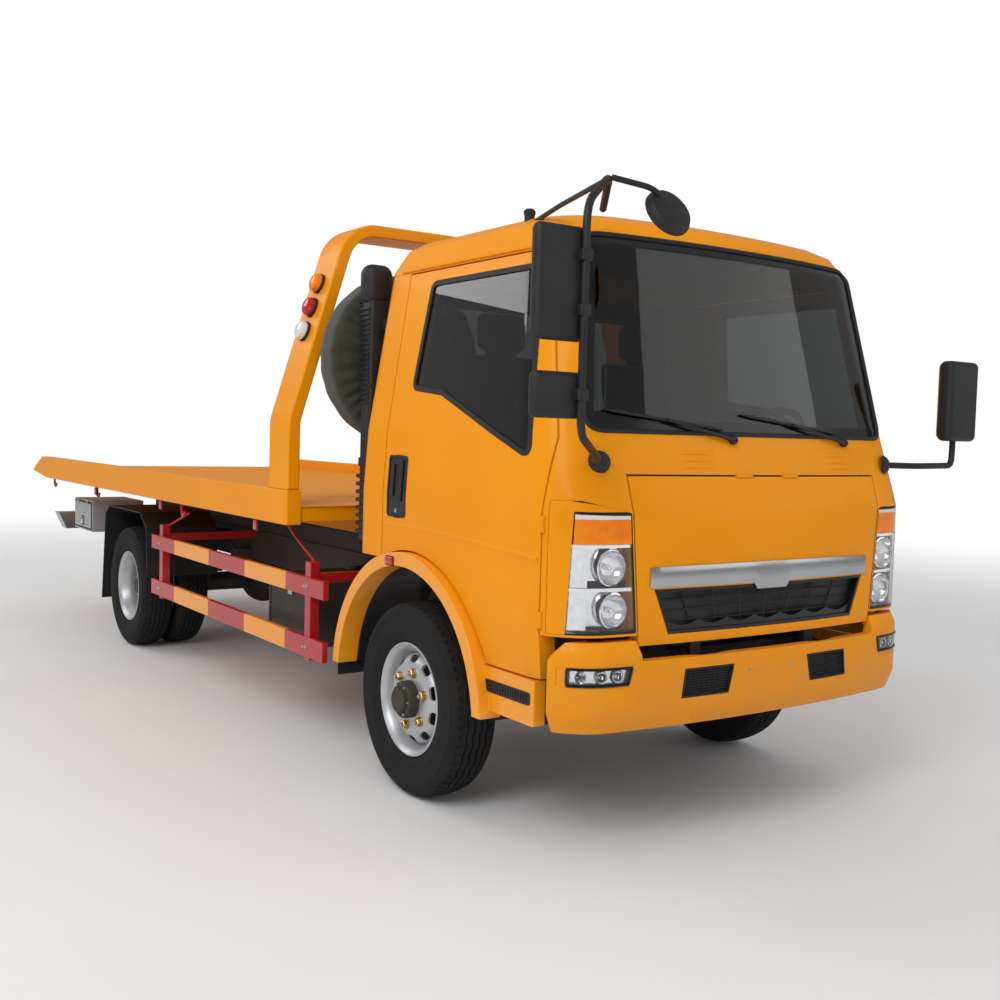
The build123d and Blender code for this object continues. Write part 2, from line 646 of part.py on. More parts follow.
# Wheels, drawn about the origin with the outer side on +Y
half_w = RIM_W / 2
tyre_side = [(RIM_R + FIT, 66), (RIM_FLANGE_R + 1, 71), (RIM_FLANGE_R + 7, 84), (270, 96), (310, TYRE_W / 2)]
tyre_side += [(345, 97), (368, 88), (379, 74), (TYRE_R, 52)]
tyre = spun([(r, -y) for r, y in tyre_side] + tyre_side[::-1])


def wheel_rim(face_y):
    """A steel wheel whose bolting face stands at face_y from the rim's middle."""
    flange = half_w
    half_barrel = [
        (RIM_R - RIM_WALL, flange),
        (RIM_FLANGE_R, flange),
        (RIM_FLANGE_R, flange - 10),
        (RIM_R, flange - 14),
    ]
    barrel = half_barrel + [(r, -y) for r, y in reversed(half_barrel)]
    root = face_y * 0.35
    dish = [
        (RIM_R - RIM_WALL + 2, root),
        (175, root + (face_y - root) * 0.6),
        (130, face_y),
        (SPINDLE_R + FIT, face_y),
    ]
    dish += [(r, y - DISC_T) for r, y in reversed(dish)]
    wheel = spun(barrel) + spun(dish)
    hole = Rot(90, 0, 0) * extrude(SlotOverall(HOLE_L, HOLE_W, rotation=90), 60, both=True)
    for k in range(HOLES):
        wheel -= Rot(0, (k + 0.5) * 360 / HOLES, 0) * (Pos(HOLE_PCD_R, face_y - 20, 0) * hole)
    for k in range(6):
        wheel += Rot(0, 60 * k, 0) * (Pos(NUT_PCD_R, face_y + 10, 0) * Rot(90, 0, 0) * Cylinder(15, 22))
    return wheel


def hub_cap(y0, y1):
    cap = [(SPINDLE_R + FIT, y0), (HUB_R, y0), (HUB_R, y1 - 14), (HUB_R - 14, y1), (0, y1), (0, y1 - 10)]
    return spun(cap + [(SPINDLE_R + FIT, y1 - 10)])


FRONT_FACE = 72
front_wheel = wheel_rim(FRONT_FACE) + hub_cap(FRONT_FACE - 30, FRONT_FACE + 62)
outer_wheel = wheel_rim(-72)
inner_wheel = wheel_rim(60)
twin_gap = TWIN_OUT_Y - TWIN_IN_Y
rear_hub = hub_cap(-130, 32)
spacer = spun([(SPINDLE_R + FIT, -twin_gap + 50), (125, -twin_gap + 50), (125, -81), (SPINDLE_R + FIT, -81)])
twin = outer_wheel + Pos(0, -twin_gap, 0) * inner_wheel + rear_hub + spacer
for s, name in SIDES:
    turn = (lambda a: flip(a)) if s < 0 else (lambda a: a)
    save("tyre_front_" + name, Pos(0, s * FRONT_TRACK_Y, HUB_Z) * turn(tyre))
    save("wheel_front_" + name, Pos(0, s * FRONT_TRACK_Y, HUB_Z) * turn(front_wheel))
    save("tyres_rear_" + name, *[Pos(REAR_X, s * y, HUB_Z) * tyre for y in (TWIN_IN_Y, TWIN_OUT_Y)])
    save("wheels_rear_" + name, Pos(REAR_X, s * TWIN_OUT_Y, HUB_Z) * turn(twin))

# Tanks, boxes, guards
tank = fillet(box(TANK_REAR, TANK_FRONT, RAIL_Y + 60, 860, 372, 700).edges().filter_by(Axis.X), 45)
strap = (TANK_FRONT - TANK_REAR) * 0.21
for x in (TANK_FRONT - strap, TANK_REAR + strap):
    tank += box(x - 30, x + 30, RAIL_Y + FIT, RAIL_Y + 80, 560, 720)
locker = fillet(box(-1500, -960, -860, -RAIL_Y - 60, 420, 720).edges().filter_by(Axis.X), 12)
for x in (-1080, -1380):
    locker += box(x - 30, x + 30, -RAIL_Y - 80, -RAIL_Y - FIT, 600, 740)
tank += rod((TANK_FRONT - 130, 720, 690), (TANK_FRONT - 130, 720, 724), 42)
save("side_tanks", tank, locker)
PIPE_X = TANK_REAR - 80
muffler = rod((PIPE_X - 120, 610, 540), (PIPE_X - 790, 610, 540), 95)
outlet = [(-740, 610, 540), (-940, 610, 540), (-970, 720, 540), (-980, 880, 500)]
muffler += tube([(PIPE_X + x, y, z) for x, y, z in outlet], 30, 25)
muffler += tube([(PIPE_X - 140, 610, 540), (PIPE_X - 20, 610, 540), (PIPE_X, 500, 580)], 28, 20)
for x in (PIPE_X - 260, PIPE_X - 640):
    muffler += box(x - 20, x + 20, RAIL_Y + FIT, 600, 620, 660)
save("exhaust", muffler)

guard = box(GUARD_REAR, GUARD_FRONT, -GUARD_Y, -GUARD_Y + GUARD_T, *GUARD_UPPER)
guard += box(GUARD_REAR, GUARD_FRONT, -GUARD_Y, -GUARD_Y + GUARD_T, *GUARD_LOWER)
for x in (GUARD_FRONT - 180, GUARD_REAR + 150):
    guard += box(x - 28, x + 28, -GUARD_Y + 10, -GUARD_Y + 56, 405, 850)
    guard += box(x - 25, x + 25, -GUARD_Y + 40, -RAIL_Y - FIT, 755, 797)
save("side_guards", *both(guard))

flap = [(470, 500), (440, 800), (320, 885), (-350, 885), (-440, 830), (-520, 240)]
flap += [(-526, 240), (-447, 836), (-354, 892), (324, 892), (447, 806), (477, 500)]
mud = side_plate([(REAR_X + x, z) for x, z in flap], -972, -520)
for x in (REAR_X + 300, REAR_X - 300):
    mud += rod((x, -RAIL_Y - FIT, 760), (x, -560, 760), 16) + rod((x, -560, 750), (x, -560, 888), 16)
save("rear_mudguards", *both(mud))

chest = box(BOX_REAR, BOX_FRONT, -930, -560, 655, 880)
seam = box(BOX_REAR + 10, BOX_FRONT - 10, -940, -924, 668, 868)
seam -= box(BOX_REAR + 17, BOX_FRONT - 17, -950, -900, 675, 861)
chest -= seam
latch_x = (BOX_FRONT + BOX_REAR) / 2
chest += box(latch_x - 35, latch_x + 35, -937, -925, 690, 760)
for x in (BOX_FRONT - 60, RAIL_REAR + 22):
    chest += box(x - 16, x + 16, -600, -RAIL_Y - FIT, 700, 760)
save("toolboxes", *both(chest))
tail = box(BOX_REAR - 22, BOX_REAR - FIT, -900, -620, 705, 815)
save("chassis_lamps", *both(fog), *both(tail))

spare_edge = [(345, 98), (376, 90), (391, 72), (395, 50)]
spare = spun([(0, -80), (300, -92)] + [(r, -y) for r, y in spare_edge] + spare_edge[::-1] + [(0, 98)])
spare = Pos(-672, -590, 1765) * Rot(0, 0, 90) * spare
save("spare_wheel", spare)
post = box(-801, -779, -650, -530, 1100, 1820) + box(-801, -779, -650, RAIL_Y, 1100, 1160)
for s in (-1, 1):
    post += box(-801, -750, s * RAIL_Y, s * (RAIL_Y - 60), RAIL_TOP + FIT, 1110)
post += rod((-785, -590, 1765), (-770.3, -590, 1765), 60)
save("spare_carrier", post)
intake = box(-555, -468, -860, -760, 960, 2010)
intake += fillet(box(-562, -462, -880, -745, 1990, 2155).edges().filter_by(Axis.Y), 45)
for z in range(1000, 1260, 34):
    intake += box(-560, -463, -868, -752, z, z + 16)
for z in range(1560, 1980, 21):
    intake += box(-561, -476, -866, -754, z, z + 11)
intake += box(-555, -468, -800, -340, 925, 985)
for y, z in ((-800, 1500), (-780, 1900)):
    intake += box(-480, -380, y - 25, y + 25, z - 25, z + 25)
save("air_intake", intake - cab_form(-FIT))

# Tilt frame, bed and cylinders
RUNNER_Z0 = RAIL_TOP + CLEAR + SUB_H + CLEAR
sub_points = [
    (SUB_REAR, RAIL_TOP + 42),
    (PIVOT_X + 20, RAIL_TOP + FIT),
    (SUB_FRONT, RAIL_TOP + FIT),
    (SUB_FRONT, RAIL_TOP + CLEAR + SUB_H),
    (SUB_REAR, RAIL_TOP + CLEAR + SUB_H),
]
sub = None
for s in (-1, 1):
    part = side_plate(sub_points, s * RUNNER_Y - SUB_W / 2, s * RUNNER_Y + SUB_W / 2)
    for k in range(5):
        x = SUB_REAR + 160 + k * (SUB_FRONT - SUB_REAR - 360) / 4
        y0 = s * RUNNER_Y - 30
        part += box(x - 60, x + 60, y0, y0 + 60, RAIL_TOP + CLEAR + SUB_H - 5, RUNNER_Z0 - FIT)
    sub = part if sub is None else sub + part
mid_beam = TILT_EYE[0] + (SUB_FRONT - TILT_EYE[0]) / 3
for x in (SUB_FRONT - 40, mid_beam, REAR_X - 100, SUB_REAR + 200):
    sub += box(x - 30, x + 30, -RUNNER_Y, RUNNER_Y, RAIL_TOP + 12, RAIL_TOP + 52)
sub -= rod((PIVOT_X, -600, PIVOT_Z), (PIVOT_X, 600, PIVOT_Z), 22 + FIT)
for s in (-1, 1):
    eye_x, eye_z = TILT_EYE
    sub += rod((eye_x, s * (RUNNER_Y - 20), eye_z), (eye_x, s * (TILT_CYL_Y + 32), eye_z), 20)
save("tilt_frame", sub)

RAM_Z = RUNNER_Z0 + 50
RAM_FRONT = SUB_FRONT - 120
RAM_REAR = SUB_REAR + 380
barrel = rod((RAM_FRONT, 0, RAM_Z), (RAM_REAR, 0, RAM_Z), 52)
barrel -= rod((RAM_FRONT - 20, 0, RAM_Z), (RAM_REAR - 20, 0, RAM_Z), 30 + RUN)
for x in (RAM_FRONT - 80, RAM_REAR + 80):
    barrel += box(x - 25, x + 25, -60, 60, RAIL_TOP + 52 + FIT, RAM_Z - 40)
    reach = RUNNER_Y - SUB_W / 2 - FIT
    barrel += box(x - 25, x + 25, -reach, reach, RAIL_TOP + 52 + FIT, RUNNER_Z0 - CLEAR)
save("slide_barrel", barrel)
ram_rod = rod((RAM_FRONT - 40, 0, RAM_Z), (RAM_REAR - 120, 0, RAM_Z), 30)
ram_rod += box(RAM_REAR - 180, RAM_REAR - 110, -60, 60, RAM_Z - 40, BED_LOW + 15 - FIT)
save("slide_rod", ram_rod)

dx = TILT_EYE[0] - TILT_FOOT[0]
dz = TILT_EYE[1] - TILT_FOOT[1]
run = hypot(dx, dz)
ux = dx / run
uz = dz / run
barrels = []
rods = []
for s in (-1, 1):
    y = s * TILT_CYL_Y
    foot = (TILT_FOOT[0], y, TILT_FOOT[1])
    neck = (TILT_FOOT[0] + ux * (run - 130), y, TILT_FOOT[1] + uz * (run - 130))
    eye = (TILT_EYE[0], y, TILT_EYE[1])
    inner_end = (TILT_FOOT[0] + ux * 110, y, TILT_FOOT[1] + uz * 110)
    b = rod((TILT_FOOT[0] + ux * 60, y, TILT_FOOT[1] + uz * 60), neck, 44)
    b -= rod(inner_end, (neck[0] + ux * 20, y, neck[2] + uz * 20), 26 + RUN)
    b += rod(foot, (TILT_FOOT[0] + ux * 70, y, TILT_FOOT[1] + uz * 70), 24)
    b += rod((foot[0], y - 26, foot[2]), (foot[0], y + 26, foot[2]), 36)
    b -= rod((foot[0], y - 60, foot[2]), (foot[0], y + 60, foot[2]), 18 + FIT)
    barrels.append(b)
    tip_start = (TILT_FOOT[0] + ux * 125, y, TILT_FOOT[1] + uz * 125)
    tip = rod(tip_start, (eye[0] - ux * 25, y, eye[2] - uz * 25), 26)
    tip += rod((eye[0], y - 26, eye[2]), (eye[0], y + 26, eye[2]), 34)
    rods.append(tip)
save("tilt_barrels", *barrels)
save("tilt_rods", *rods)

deck_y = BED_Y - SIDE_T - FIT
tail_z = BED_TOP - TAIL_DROP
deck = box(BED_TAIL + TAIL_BEVEL, BED_FRONT - WINCH_BAY, -deck_y, deck_y, DECK_Z - DECK_T, DECK_Z)
deck += box(BED_FRONT - WINCH_BAY, BED_FRONT, -deck_y, deck_y, DECK_Z - DECK_T, DECK_Z - 2)
lip = [(BED_TAIL + TAIL_BEVEL, DECK_Z), (BED_TAIL + TAIL_BEVEL, BED_LOW + 15), (BED_TAIL + 20, tail_z - 25)]
lip += [(BED_TAIL, tail_z - 25), (BED_TAIL, tail_z - 6)]
deck += side_plate(lip, -deck_y, deck_y)
for k in range(12):
    x = BED_FRONT - 40 - k * (BED_FRONT - BED_TAIL - 395) / 11
    deck += box(x - 30, x + 30, -deck_y, deck_y, BED_LOW + 15, DECK_Z - 2)
for s in (-1, 1):
    y0 = s * RUNNER_Y - RUNNER_W / 2
    deck += box(BED_TAIL + 520, BED_FRONT - 420, y0, y0 + RUNNER_W, RUNNER_Z0, BED_LOW + 20)
save("bed_deck", deck)
side = [(BED_FRONT, BED_LOW), (BED_FRONT, BED_TOP), (BED_TAIL + TAIL_BEVEL, BED_TOP)]
side += [(BED_TAIL, tail_z), (BED_TAIL, tail_z - 22), (BED_TAIL + 420, BED_LOW)]
rail_side = side_plate(side, -BED_Y, -BED_Y + SIDE_T)
save("bed_sides", *both(rail_side))

leg_y = BED_Y - 4 - GANTRY_T / 2
leg = [
    (0, -leg_y, BED_TOP + FIT),
    (0, -leg_y, GANTRY_KNEE_Z),
    (0, -GANTRY_CORNER_Y, GANTRY_TOP_Z - GANTRY_T / 2),
]
hoop = FilletPolyline(*leg, *[(x, -y, z) for x, y, z in reversed(leg)], radius=GANTRY_BEND)
section = Plane(origin=hoop @ 0, x_dir=(1, 0, 0), z_dir=hoop % 0) * Rectangle(GANTRY_D, GANTRY_T)
gantry_x = BED_FRONT - GANTRY_D / 2
save("gantry", Pos(gantry_x, 0, 0) * sweep(section, path=hoop))
lamps = []
lean = (Vector(*leg[2]) - Vector(*leg[1])).normalized()
out_dir = Vector(0, -lean.Z, lean.Y)
for drop in GANTRY_LAMPS:
    rise = (GANTRY_TOP_Z - drop - GANTRY_KNEE_Z - out_dir.Z * GANTRY_T / 2) / lean.Z
    base = Vector(gantry_x, -leg_y, GANTRY_KNEE_Z) + lean * rise + out_dir * (GANTRY_T / 2 + FIT)
    lamps.append(rod(tuple(base), tuple(base + out_dir * LAMP_D), LAMP_R))
lamps += [flip(a) for a in lamps]
markers = []
for x in (BED_FRONT - 412, BED_FRONT - 1815, BED_FRONT - 3185):
    m = box(x - 24, x + 24, -BED_Y + 20, -BED_Y + 34, BED_LOW - 62, BED_LOW - FIT)
    markers += both(m)
save("bed_lamps", *lamps, *markers)

WINCH_X = BED_FRONT - 430
WINCH_Z = DECK_Z + 130
winch = box(WINCH_X - 130, WINCH_X + 130, -300, 300, DECK_Z - 2 + FIT, DECK_Z + 14)
for s in (-1, 1):
    winch += box(WINCH_X - 110, WINCH_X + 110, s * 190, s * 214, DECK_Z + 10, DECK_Z + 250)
winch += rod((WINCH_X, 205, WINCH_Z), (WINCH_X, 330, WINCH_Z), 85)
winch -= rod((WINCH_X, -250, WINCH_Z), (WINCH_X, 189, WINCH_Z), 24 + FIT)
save("winch_stand", winch)
drum = rod((WINCH_X, -184, WINCH_Z), (WINCH_X, 184, WINCH_Z), 62)
for s in (-1, 1):
    drum += rod((WINCH_X, s * 174, WINCH_Z), (WINCH_X, s * 184, WINCH_Z), 112)
drum += rod((WINCH_X, -222, WINCH_Z), (WINCH_X, 186, WINCH_Z), 24)
save("winch_drum", drum)

# Underlift
b = BOOM_W / 2
boom = box(BOOM_END, LIFT_X - 40, -b, b, LIFT_Z - b, LIFT_Z + b)
boom += box(LIFT_X - 60, LIFT_X, -b, b, LIFT_Z - 40, LIFT_Z + 40)
boom += rod((LIFT_X, -b, LIFT_Z), (LIFT_X, b, LIFT_Z), 40)
hollow = b - BOOM_WALL
boom -= box(BOOM_END - 20, LIFT_X - 70, -hollow, hollow, LIFT_Z - hollow, LIFT_Z + hollow)
boom -= rod((LIFT_X, -b - 5, LIFT_Z), (LIFT_X, b + 5, LIFT_Z), 24 + FIT)
save("underlift_boom", boom)
c = b - BOOM_WALL - FIT
slider = box(BAR_X + 112, LIFT_X - 75, -c, c, LIFT_Z - c, LIFT_Z + c)
slider += box(BAR_X - 70, BAR_X + 140, -c, c, LIFT_Z - c, LIFT_Z - c + 14)
slider += rod((BAR_X, 0, LIFT_Z - c), (BAR_X, 0, LIFT_Z + 50), 22)
save("underlift_stinger", slider)
bar_z0 = LIFT_Z - c + 14 + FIT
bar_points = [(-BAR_Y, bar_z0 + BAR_H), (BAR_Y, bar_z0 + BAR_H), (BAR_Y - 60, bar_z0), (-BAR_Y + 60, bar_z0)]
cross = front_plate(bar_points, BAR_X - 60, BAR_X + 60)
cross -= rod((BAR_X, 0, bar_z0 - 10), (BAR_X, 0, bar_z0 + BAR_H + 10), 22 + FIT)
for s in (-1, 1):
    cross -= rod((BAR_X, s * SOCKET_Y, bar_z0 - 10), (BAR_X, s * SOCKET_Y, bar_z0 + BAR_H + 10), SOCKET_R)
save("underlift_bar", cross)
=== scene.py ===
import json
from math import acos, asin, atan2, cos, pi, radians, sin, sqrt

import bmesh
import bpy
from mathutils import Matrix, Vector


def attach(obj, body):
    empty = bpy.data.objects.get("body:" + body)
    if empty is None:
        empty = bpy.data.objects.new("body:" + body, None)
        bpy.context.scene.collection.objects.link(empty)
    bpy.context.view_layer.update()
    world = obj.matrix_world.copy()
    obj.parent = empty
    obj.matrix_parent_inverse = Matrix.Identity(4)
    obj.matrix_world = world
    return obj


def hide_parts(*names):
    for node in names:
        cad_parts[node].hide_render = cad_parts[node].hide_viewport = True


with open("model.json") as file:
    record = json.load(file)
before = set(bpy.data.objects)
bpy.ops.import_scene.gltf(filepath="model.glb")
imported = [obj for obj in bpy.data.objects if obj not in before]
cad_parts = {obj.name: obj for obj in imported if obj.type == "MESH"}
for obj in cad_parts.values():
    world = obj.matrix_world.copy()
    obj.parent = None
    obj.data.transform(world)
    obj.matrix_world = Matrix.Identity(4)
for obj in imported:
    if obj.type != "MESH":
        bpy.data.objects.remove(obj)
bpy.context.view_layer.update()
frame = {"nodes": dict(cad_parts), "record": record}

# Places are in millimetres from the front axle, as in the part's source, and are moved when a piece is made.
AXLE_X = 2242
REAR_X = -3600
HUB_Z = 387.5
SIDES = ((-1, "right", "r"), (1, "left", "l"))
nodes = frame["nodes"]

# Cab shell: height, foremost X, half width
CAB = (
    (600, 1030, 900),
    (800, 1040, 915),
    (1200, 1040, 915),
    (1450, 962, 900),
    (2110, 838, 800),
    (2200, 785, 748),
    (2232, 728, 698),
    (2252, 650, 630),
)
# Bumper: height, foremost X, half width
BUMPER = ((457, 1040, 898), (525, 1062, 912), (720, 1062, 912), (766, 1040, 906))
# How far the front bows, and how deep its corners are rounded
BOW = 45
CORNER = 190
# Depth under the bumper's skin from which its faces are painted black, as painted shade for the shaded gap
# under the bumper
BUMPER_SHADE_DEPTH = 30


def row_at(table, z):
    z = min(max(z, table[0][0]), table[-1][0])
    for low, high in zip(table, table[1:]):
        if z <= high[0]:
            k = (z - low[0]) / (high[0] - low[0])
            return low[1] + k * (high[1] - low[1]), low[2] + k * (high[2] - low[2])


def bend(front, half):
    flat = half - CORNER
    bow_r = (flat ** 2 + BOW ** 2) / (2 * BOW)
    turn = pi / 2 - asin(flat / bow_r)
    r = CORNER / (1 - cos(turn))
    return flat, bow_r, r, front - BOW - r * sin(turn)


def nose_x(y, z, off=0, table=CAB):
    """X of the cab's or bumper's front at a width and height."""
    front, half = row_at(table, z)
    flat, bow_r, r, start = bend(front + off, half + off)
    y = abs(y)
    if y <= flat:
        return front + off - bow_r + sqrt(bow_r ** 2 - y ** 2)
    c = min(max(1 - (half + off - y) / r, -1), 1)
    return start + r * sin(acos(c))


def side_y(x, z, off=0, table=CAB):
    """Half width of the cab or bumper at a length and height."""
    front, half = row_at(table, z)
    flat, bow_r, r, start = bend(front + off, half + off)
    if x <= start:
        return half + off
    return half + off - r * (1 - cos(asin(min((x - start) / r, 1))))


# Placings: each maps two coordinates of a face and a height over it to a point
def on_nose(off=0, table=CAB):
    return lambda y, z, more=0: (nose_x(y, z, off + more, table), y, z)


def on_side(s):
    return lambda x, z, more=0: (x, s * side_y(x, z, more), z)


def side_face(y):
    """An upright face at a width, with more measured outwards."""
    return lambda x, z, more=0: (x, y + more * (1 if y > 0 else -1), z)


# Placings for turned(): each maps radius, height and angle to a point
def about_y(cx, cy, cz, s=1):
    return lambda r, h, a: (cx + r * cos(a), cy + s * h, cz + r * sin(a))


def about_x(cx, cy, cz, s=1):
    return lambda r, h, a: (cx + s * h, cy + r * cos(a), cz + r * sin(a))


def about_z(cx, cy, cz):
    return lambda r, h, a: (cx + r * cos(a), cy + r * sin(a), cz + h)


def about(centre, axis):
    """The same about any axis."""
    c = Vector(centre)
    n = Vector(axis).normalized()
    e = n.orthogonal().normalized()
    g = n.cross(e)
    return lambda r, h, a: c + n * h + e * (r * cos(a)) + g * (r * sin(a))


# Outlines
def spread(first, last, count):
    """Even steps from first to last, both included."""
    return [first + (last - first) * k / count for k in range(count + 1)]


def eased(p0, p, p1):
    """A curve from p0 to p1 drawn towards p."""
    return [p0 * (1 - t) ** 2 + p * 2 * t * (1 - t) + p1 * t ** 2 for t in spread(0, 1, 6)]


def neighbours(points):
    """The point before, each point and the point after it on a closed outline."""
    pts = [Vector(p) for p in points]
    return zip(pts[-1:] + pts[:-1], pts, pts[1:] + pts[:1])


def rounded(points, radius):
    """A closed outline with its corners rounded."""
    out = []
    for before, p, after in neighbours(points):
        a = before - p
        b = after - p
        half = a.angle(b) / 2
        reach = min(radius / max(0.05, abs(sin(half) / cos(half))), a.length * 0.49, b.length * 0.49)
        out += eased(p + a.normalized() * reach, p, p + b.normalized() * reach)
    return [tuple(p) for p in out]


def bent(points, radius):
    """An open run of points with its corners rounded."""
    pts = [Vector(p) for p in points]
    out = [pts[0]]
    for a, p, b in zip(pts, pts[1:], pts[2:]):
        reach = min(radius, (a - p).length * 0.48, (b - p).length * 0.48)
        out += eased(p + (a - p).normalized() * reach, p, p + (b - p).normalized() * reach)
    return out + [pts[-1]]


def rect(a0, a1, b0, b1, r):
    return rounded([(a0, b0), (a1, b0), (a1, b1), (a0, b1)], r)


def refined(points, step):
    """A closed outline with points no further apart than step."""
    out = []
    for _, a, b in neighbours(points):
        count = max(1, int((b - a).length / step + 0.999))
        out += [tuple(a.lerp(b, k / count)) for k in range(count)]
    return out


def area_of(points):
    total = 0
    for (x0, y0), (x1, y1) in zip(points, points[1:] + points[:1]):
        total += x0 * y1 - x1 * y0
    return total / 2


def shrunk(points, d):
    """A closed outline set in by d."""
    turn = 1 if area_of(points) > 0 else -1
    out = []
    for before, p, after in neighbours(points):
        t = (after - before).normalized()
        out.append(tuple(p + Vector((-t[1], t[0])) * turn * d))
    return out


# Objects and meshes
def shown(name, data):
    """A new object in the scene."""
    obj = bpy.data.objects.new(name, data)
    bpy.context.scene.collection.objects.link(obj)
    return obj


def evaluated(obj):
    """A new mesh of the object with its modifiers applied."""
    bpy.context.view_layer.update()
    graph = bpy.context.evaluated_depsgraph_get()
    return bpy.data.meshes.new_from_object(obj.evaluated_get(graph))


def mended(mesh, merge=0):
    """Joins points nearer than merge (metres) and turns the faces outwards."""
    bm = bmesh.new()
    bm.from_mesh(mesh)
    if merge:
        bmesh.ops.remove_doubles(bm, verts=bm.verts, dist=merge)
    bmesh.ops.recalc_face_normals(bm, faces=bm.faces)
    bm.to_mesh(mesh)
    bm.free()


def settle(mesh, name, body, replaces=(), smooth=35):
    """Shows a mesh as a piece that rides on a body."""
    mesh.update()
    mesh.polygons.foreach_set("use_smooth", [True] * len(mesh.polygons))
    mesh.set_sharp_from_angle(angle=radians(smooth))
    obj = shown(name, mesh)
    bpy.context.view_layer.update()
    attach(obj, body)
    if replaces:
        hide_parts(*replaces)
    return obj


class Piece:
    """Gathers faces in millimetres from the front axle and makes one object of them."""

    def __init__(self, name):
        self.name = name
        self.verts = []
        self.faces = []
        self.marks = []
        self.paints = []

    def add(self, verts, faces, paint):
        if paint not in self.paints:
            self.paints.append(paint)
        base = len(self.verts)
        self.verts.extend(tuple(v) for v in verts)
        for f in faces:
            self.faces.append([base + i for i in f])
            self.marks.append(self.paints.index(paint))

    def pad(self, x0, x1, y0, y1, z0, z1, r, paint, steps=4):
        """A box with rounded edges."""
        bm = bmesh.new()
        bmesh.ops.create_cube(bm, size=1)
        for v in bm.verts:
            v.co = Vector((v.co[0] * abs(x1 - x0), v.co[1] * abs(y1 - y0), v.co[2] * abs(z1 - z0)))
        bmesh.ops.bevel(bm, geom=bm.edges[:], offset=r, segments=steps, profile=0.5, affect="EDGES")
        mid = Vector(((x0 + x1) / 2, (y0 + y1) / 2, (z0 + z1) / 2))
        bm.verts.index_update()
        self.add([v.co + mid for v in bm.verts], [[v.index for v in f.verts] for f in bm.faces], paint)
        bm.free()

    def grid(self, rows, paint, wrap=False, close=False):
        """Quads over rows of points; wrap joins a row's ends, close joins the last row to the first."""
        n = len(rows[0])
        v = [p for row in rows for p in row]
        f = []
        for i in range(len(rows) if close else len(rows) - 1):
            k = (i + 1) % len(rows)
            for j in range(n if wrap else n - 1):
                m = (j + 1) % n
                f.append((i * n + j, i * n + m, k * n + m, k * n + j))
        self.add(v, f, paint)

    def patch(self, at, across, upward, off, paint, columns=16, rows=10):
        """A thin sheet over a span of each coordinate of a placing."""
        points = [[at(u, v, off) for u in spread(*across, columns)] for v in spread(*upward, rows)]
        self.grid(points, paint)

    def slab(self, outline, at, depth0, depth1, paint):
        """An outline laid on a surface and given thickness from depth0 to depth1 above it."""
        n = len(outline)
        v = [at(a, b, depth0) for a, b in outline] + [at(a, b, depth1) for a, b in outline]
        f = [list(range(n)), list(range(n, 2 * n))]
        for i in range(n):
            k = (i + 1) % n
            f.append((i, k, n + k, n + i))
        self.add(v, f, paint)

    def band(self, outer, inner, at, depth0, depth1, paint):
        """A frame between two like outlines on a surface."""
        rows = [[at(a, b, depth0) for a, b in outer], [at(a, b, depth1) for a, b in outer]]
        rows += [[at(a, b, depth1) for a, b in inner], [at(a, b, depth0) for a, b in inner]]
        self.grid(rows, paint, wrap=True, close=True)

    def tube(self, points, r, paint, segs=10, loop=False):
        """A round bar along points; r is one radius or one for each point."""
        pts = [Vector(p) for p in points]
        n = len(pts)
        rows = []
        up = Vector((0.13, 0.31, 0.94))
        for i in range(n):
            if loop:
                t = pts[(i + 1) % n] - pts[i - 1]
            else:
                t = pts[min(i + 1, n - 1)] - pts[max(i - 1, 0)]
            t.normalize()
            side = up.cross(t)
            if side.length < 0.05:
                side = Vector((1, 0, 0)).cross(t)
            side.normalize()
            up = t.cross(side)
            ri = r[i] if isinstance(r, (list, tuple)) else r
            turns = [2 * pi * k / segs for k in range(segs)]
            rows.append([pts[i] + (side * cos(a) + up * sin(a)) * ri for a in turns])
        self.grid(rows, paint, wrap=True, close=loop)
        if not loop:
            for end in (rows[0], rows[-1]):
                self.add(end, [range(segs)], paint)

    def turned(self, profile, paint, place, segs=64, closed=False):
        """A profile of radius and height turned about an axis; closed joins its ends."""
        rows = [[place(r, h, 2 * pi * k / segs) for k in range(segs)] for r, h in profile]
        self.grid(rows, paint, wrap=True, close=closed)

    def mesh(self):
        """The faces gathered so far as a mesh in the shared frame, in metres."""
        mesh = bpy.data.meshes.new(self.name)
        verts = [((x + AXLE_X) / 1000, y / 1000, z / 1000) for x, y, z in self.verts]
        mesh.from_pydata(verts, [], self.faces)
        return mesh

    def make(self, body, slot, replaces=(), smooth=35, fix=True):
        mesh = self.mesh()
        for paint in self.paints:
            mesh.materials.append(paint)
        mesh.polygons.foreach_set("material_index", self.marks)
        if fix:
            mended(mesh, 0.00002)
        return settle(mesh, self.name, body, replaces, smooth)


def carved(piece, cutter, target, paint):
    """Cuts one gathered shape from another and adds what is left to the target piece."""
    pair = []
    for part in (piece, cutter):
        mesh = bpy.data.meshes.new("carve")
        mesh.from_pydata(part.verts, [], part.faces)
        mended(mesh)
        pair.append(shown("carve", mesh))
    knife = pair[0].modifiers.new("cut", "BOOLEAN")
    knife.operation = "DIFFERENCE"
    knife.solver = "EXACT"
    knife.object = pair[1]
    done = evaluated(pair[0])
    target.add([v.co[:] for v in done.vertices], [list(p.vertices) for p in done.polygons], paint)
    bpy.data.meshes.remove(done)
    for obj in pair:
        mesh = obj.data
        bpy.data.objects.remove(obj)
        bpy.data.meshes.remove(mesh)


# Materials
def fill(tree, target, inputs):
    """Sets inputs of a node: a socket is joined to it, anything else is the value itself."""
    for key, value in inputs.items():
        if isinstance(value, bpy.types.NodeSocket):
            tree.links.new(value, target.inputs[key])
        else:
            target.inputs[key].default_value = value


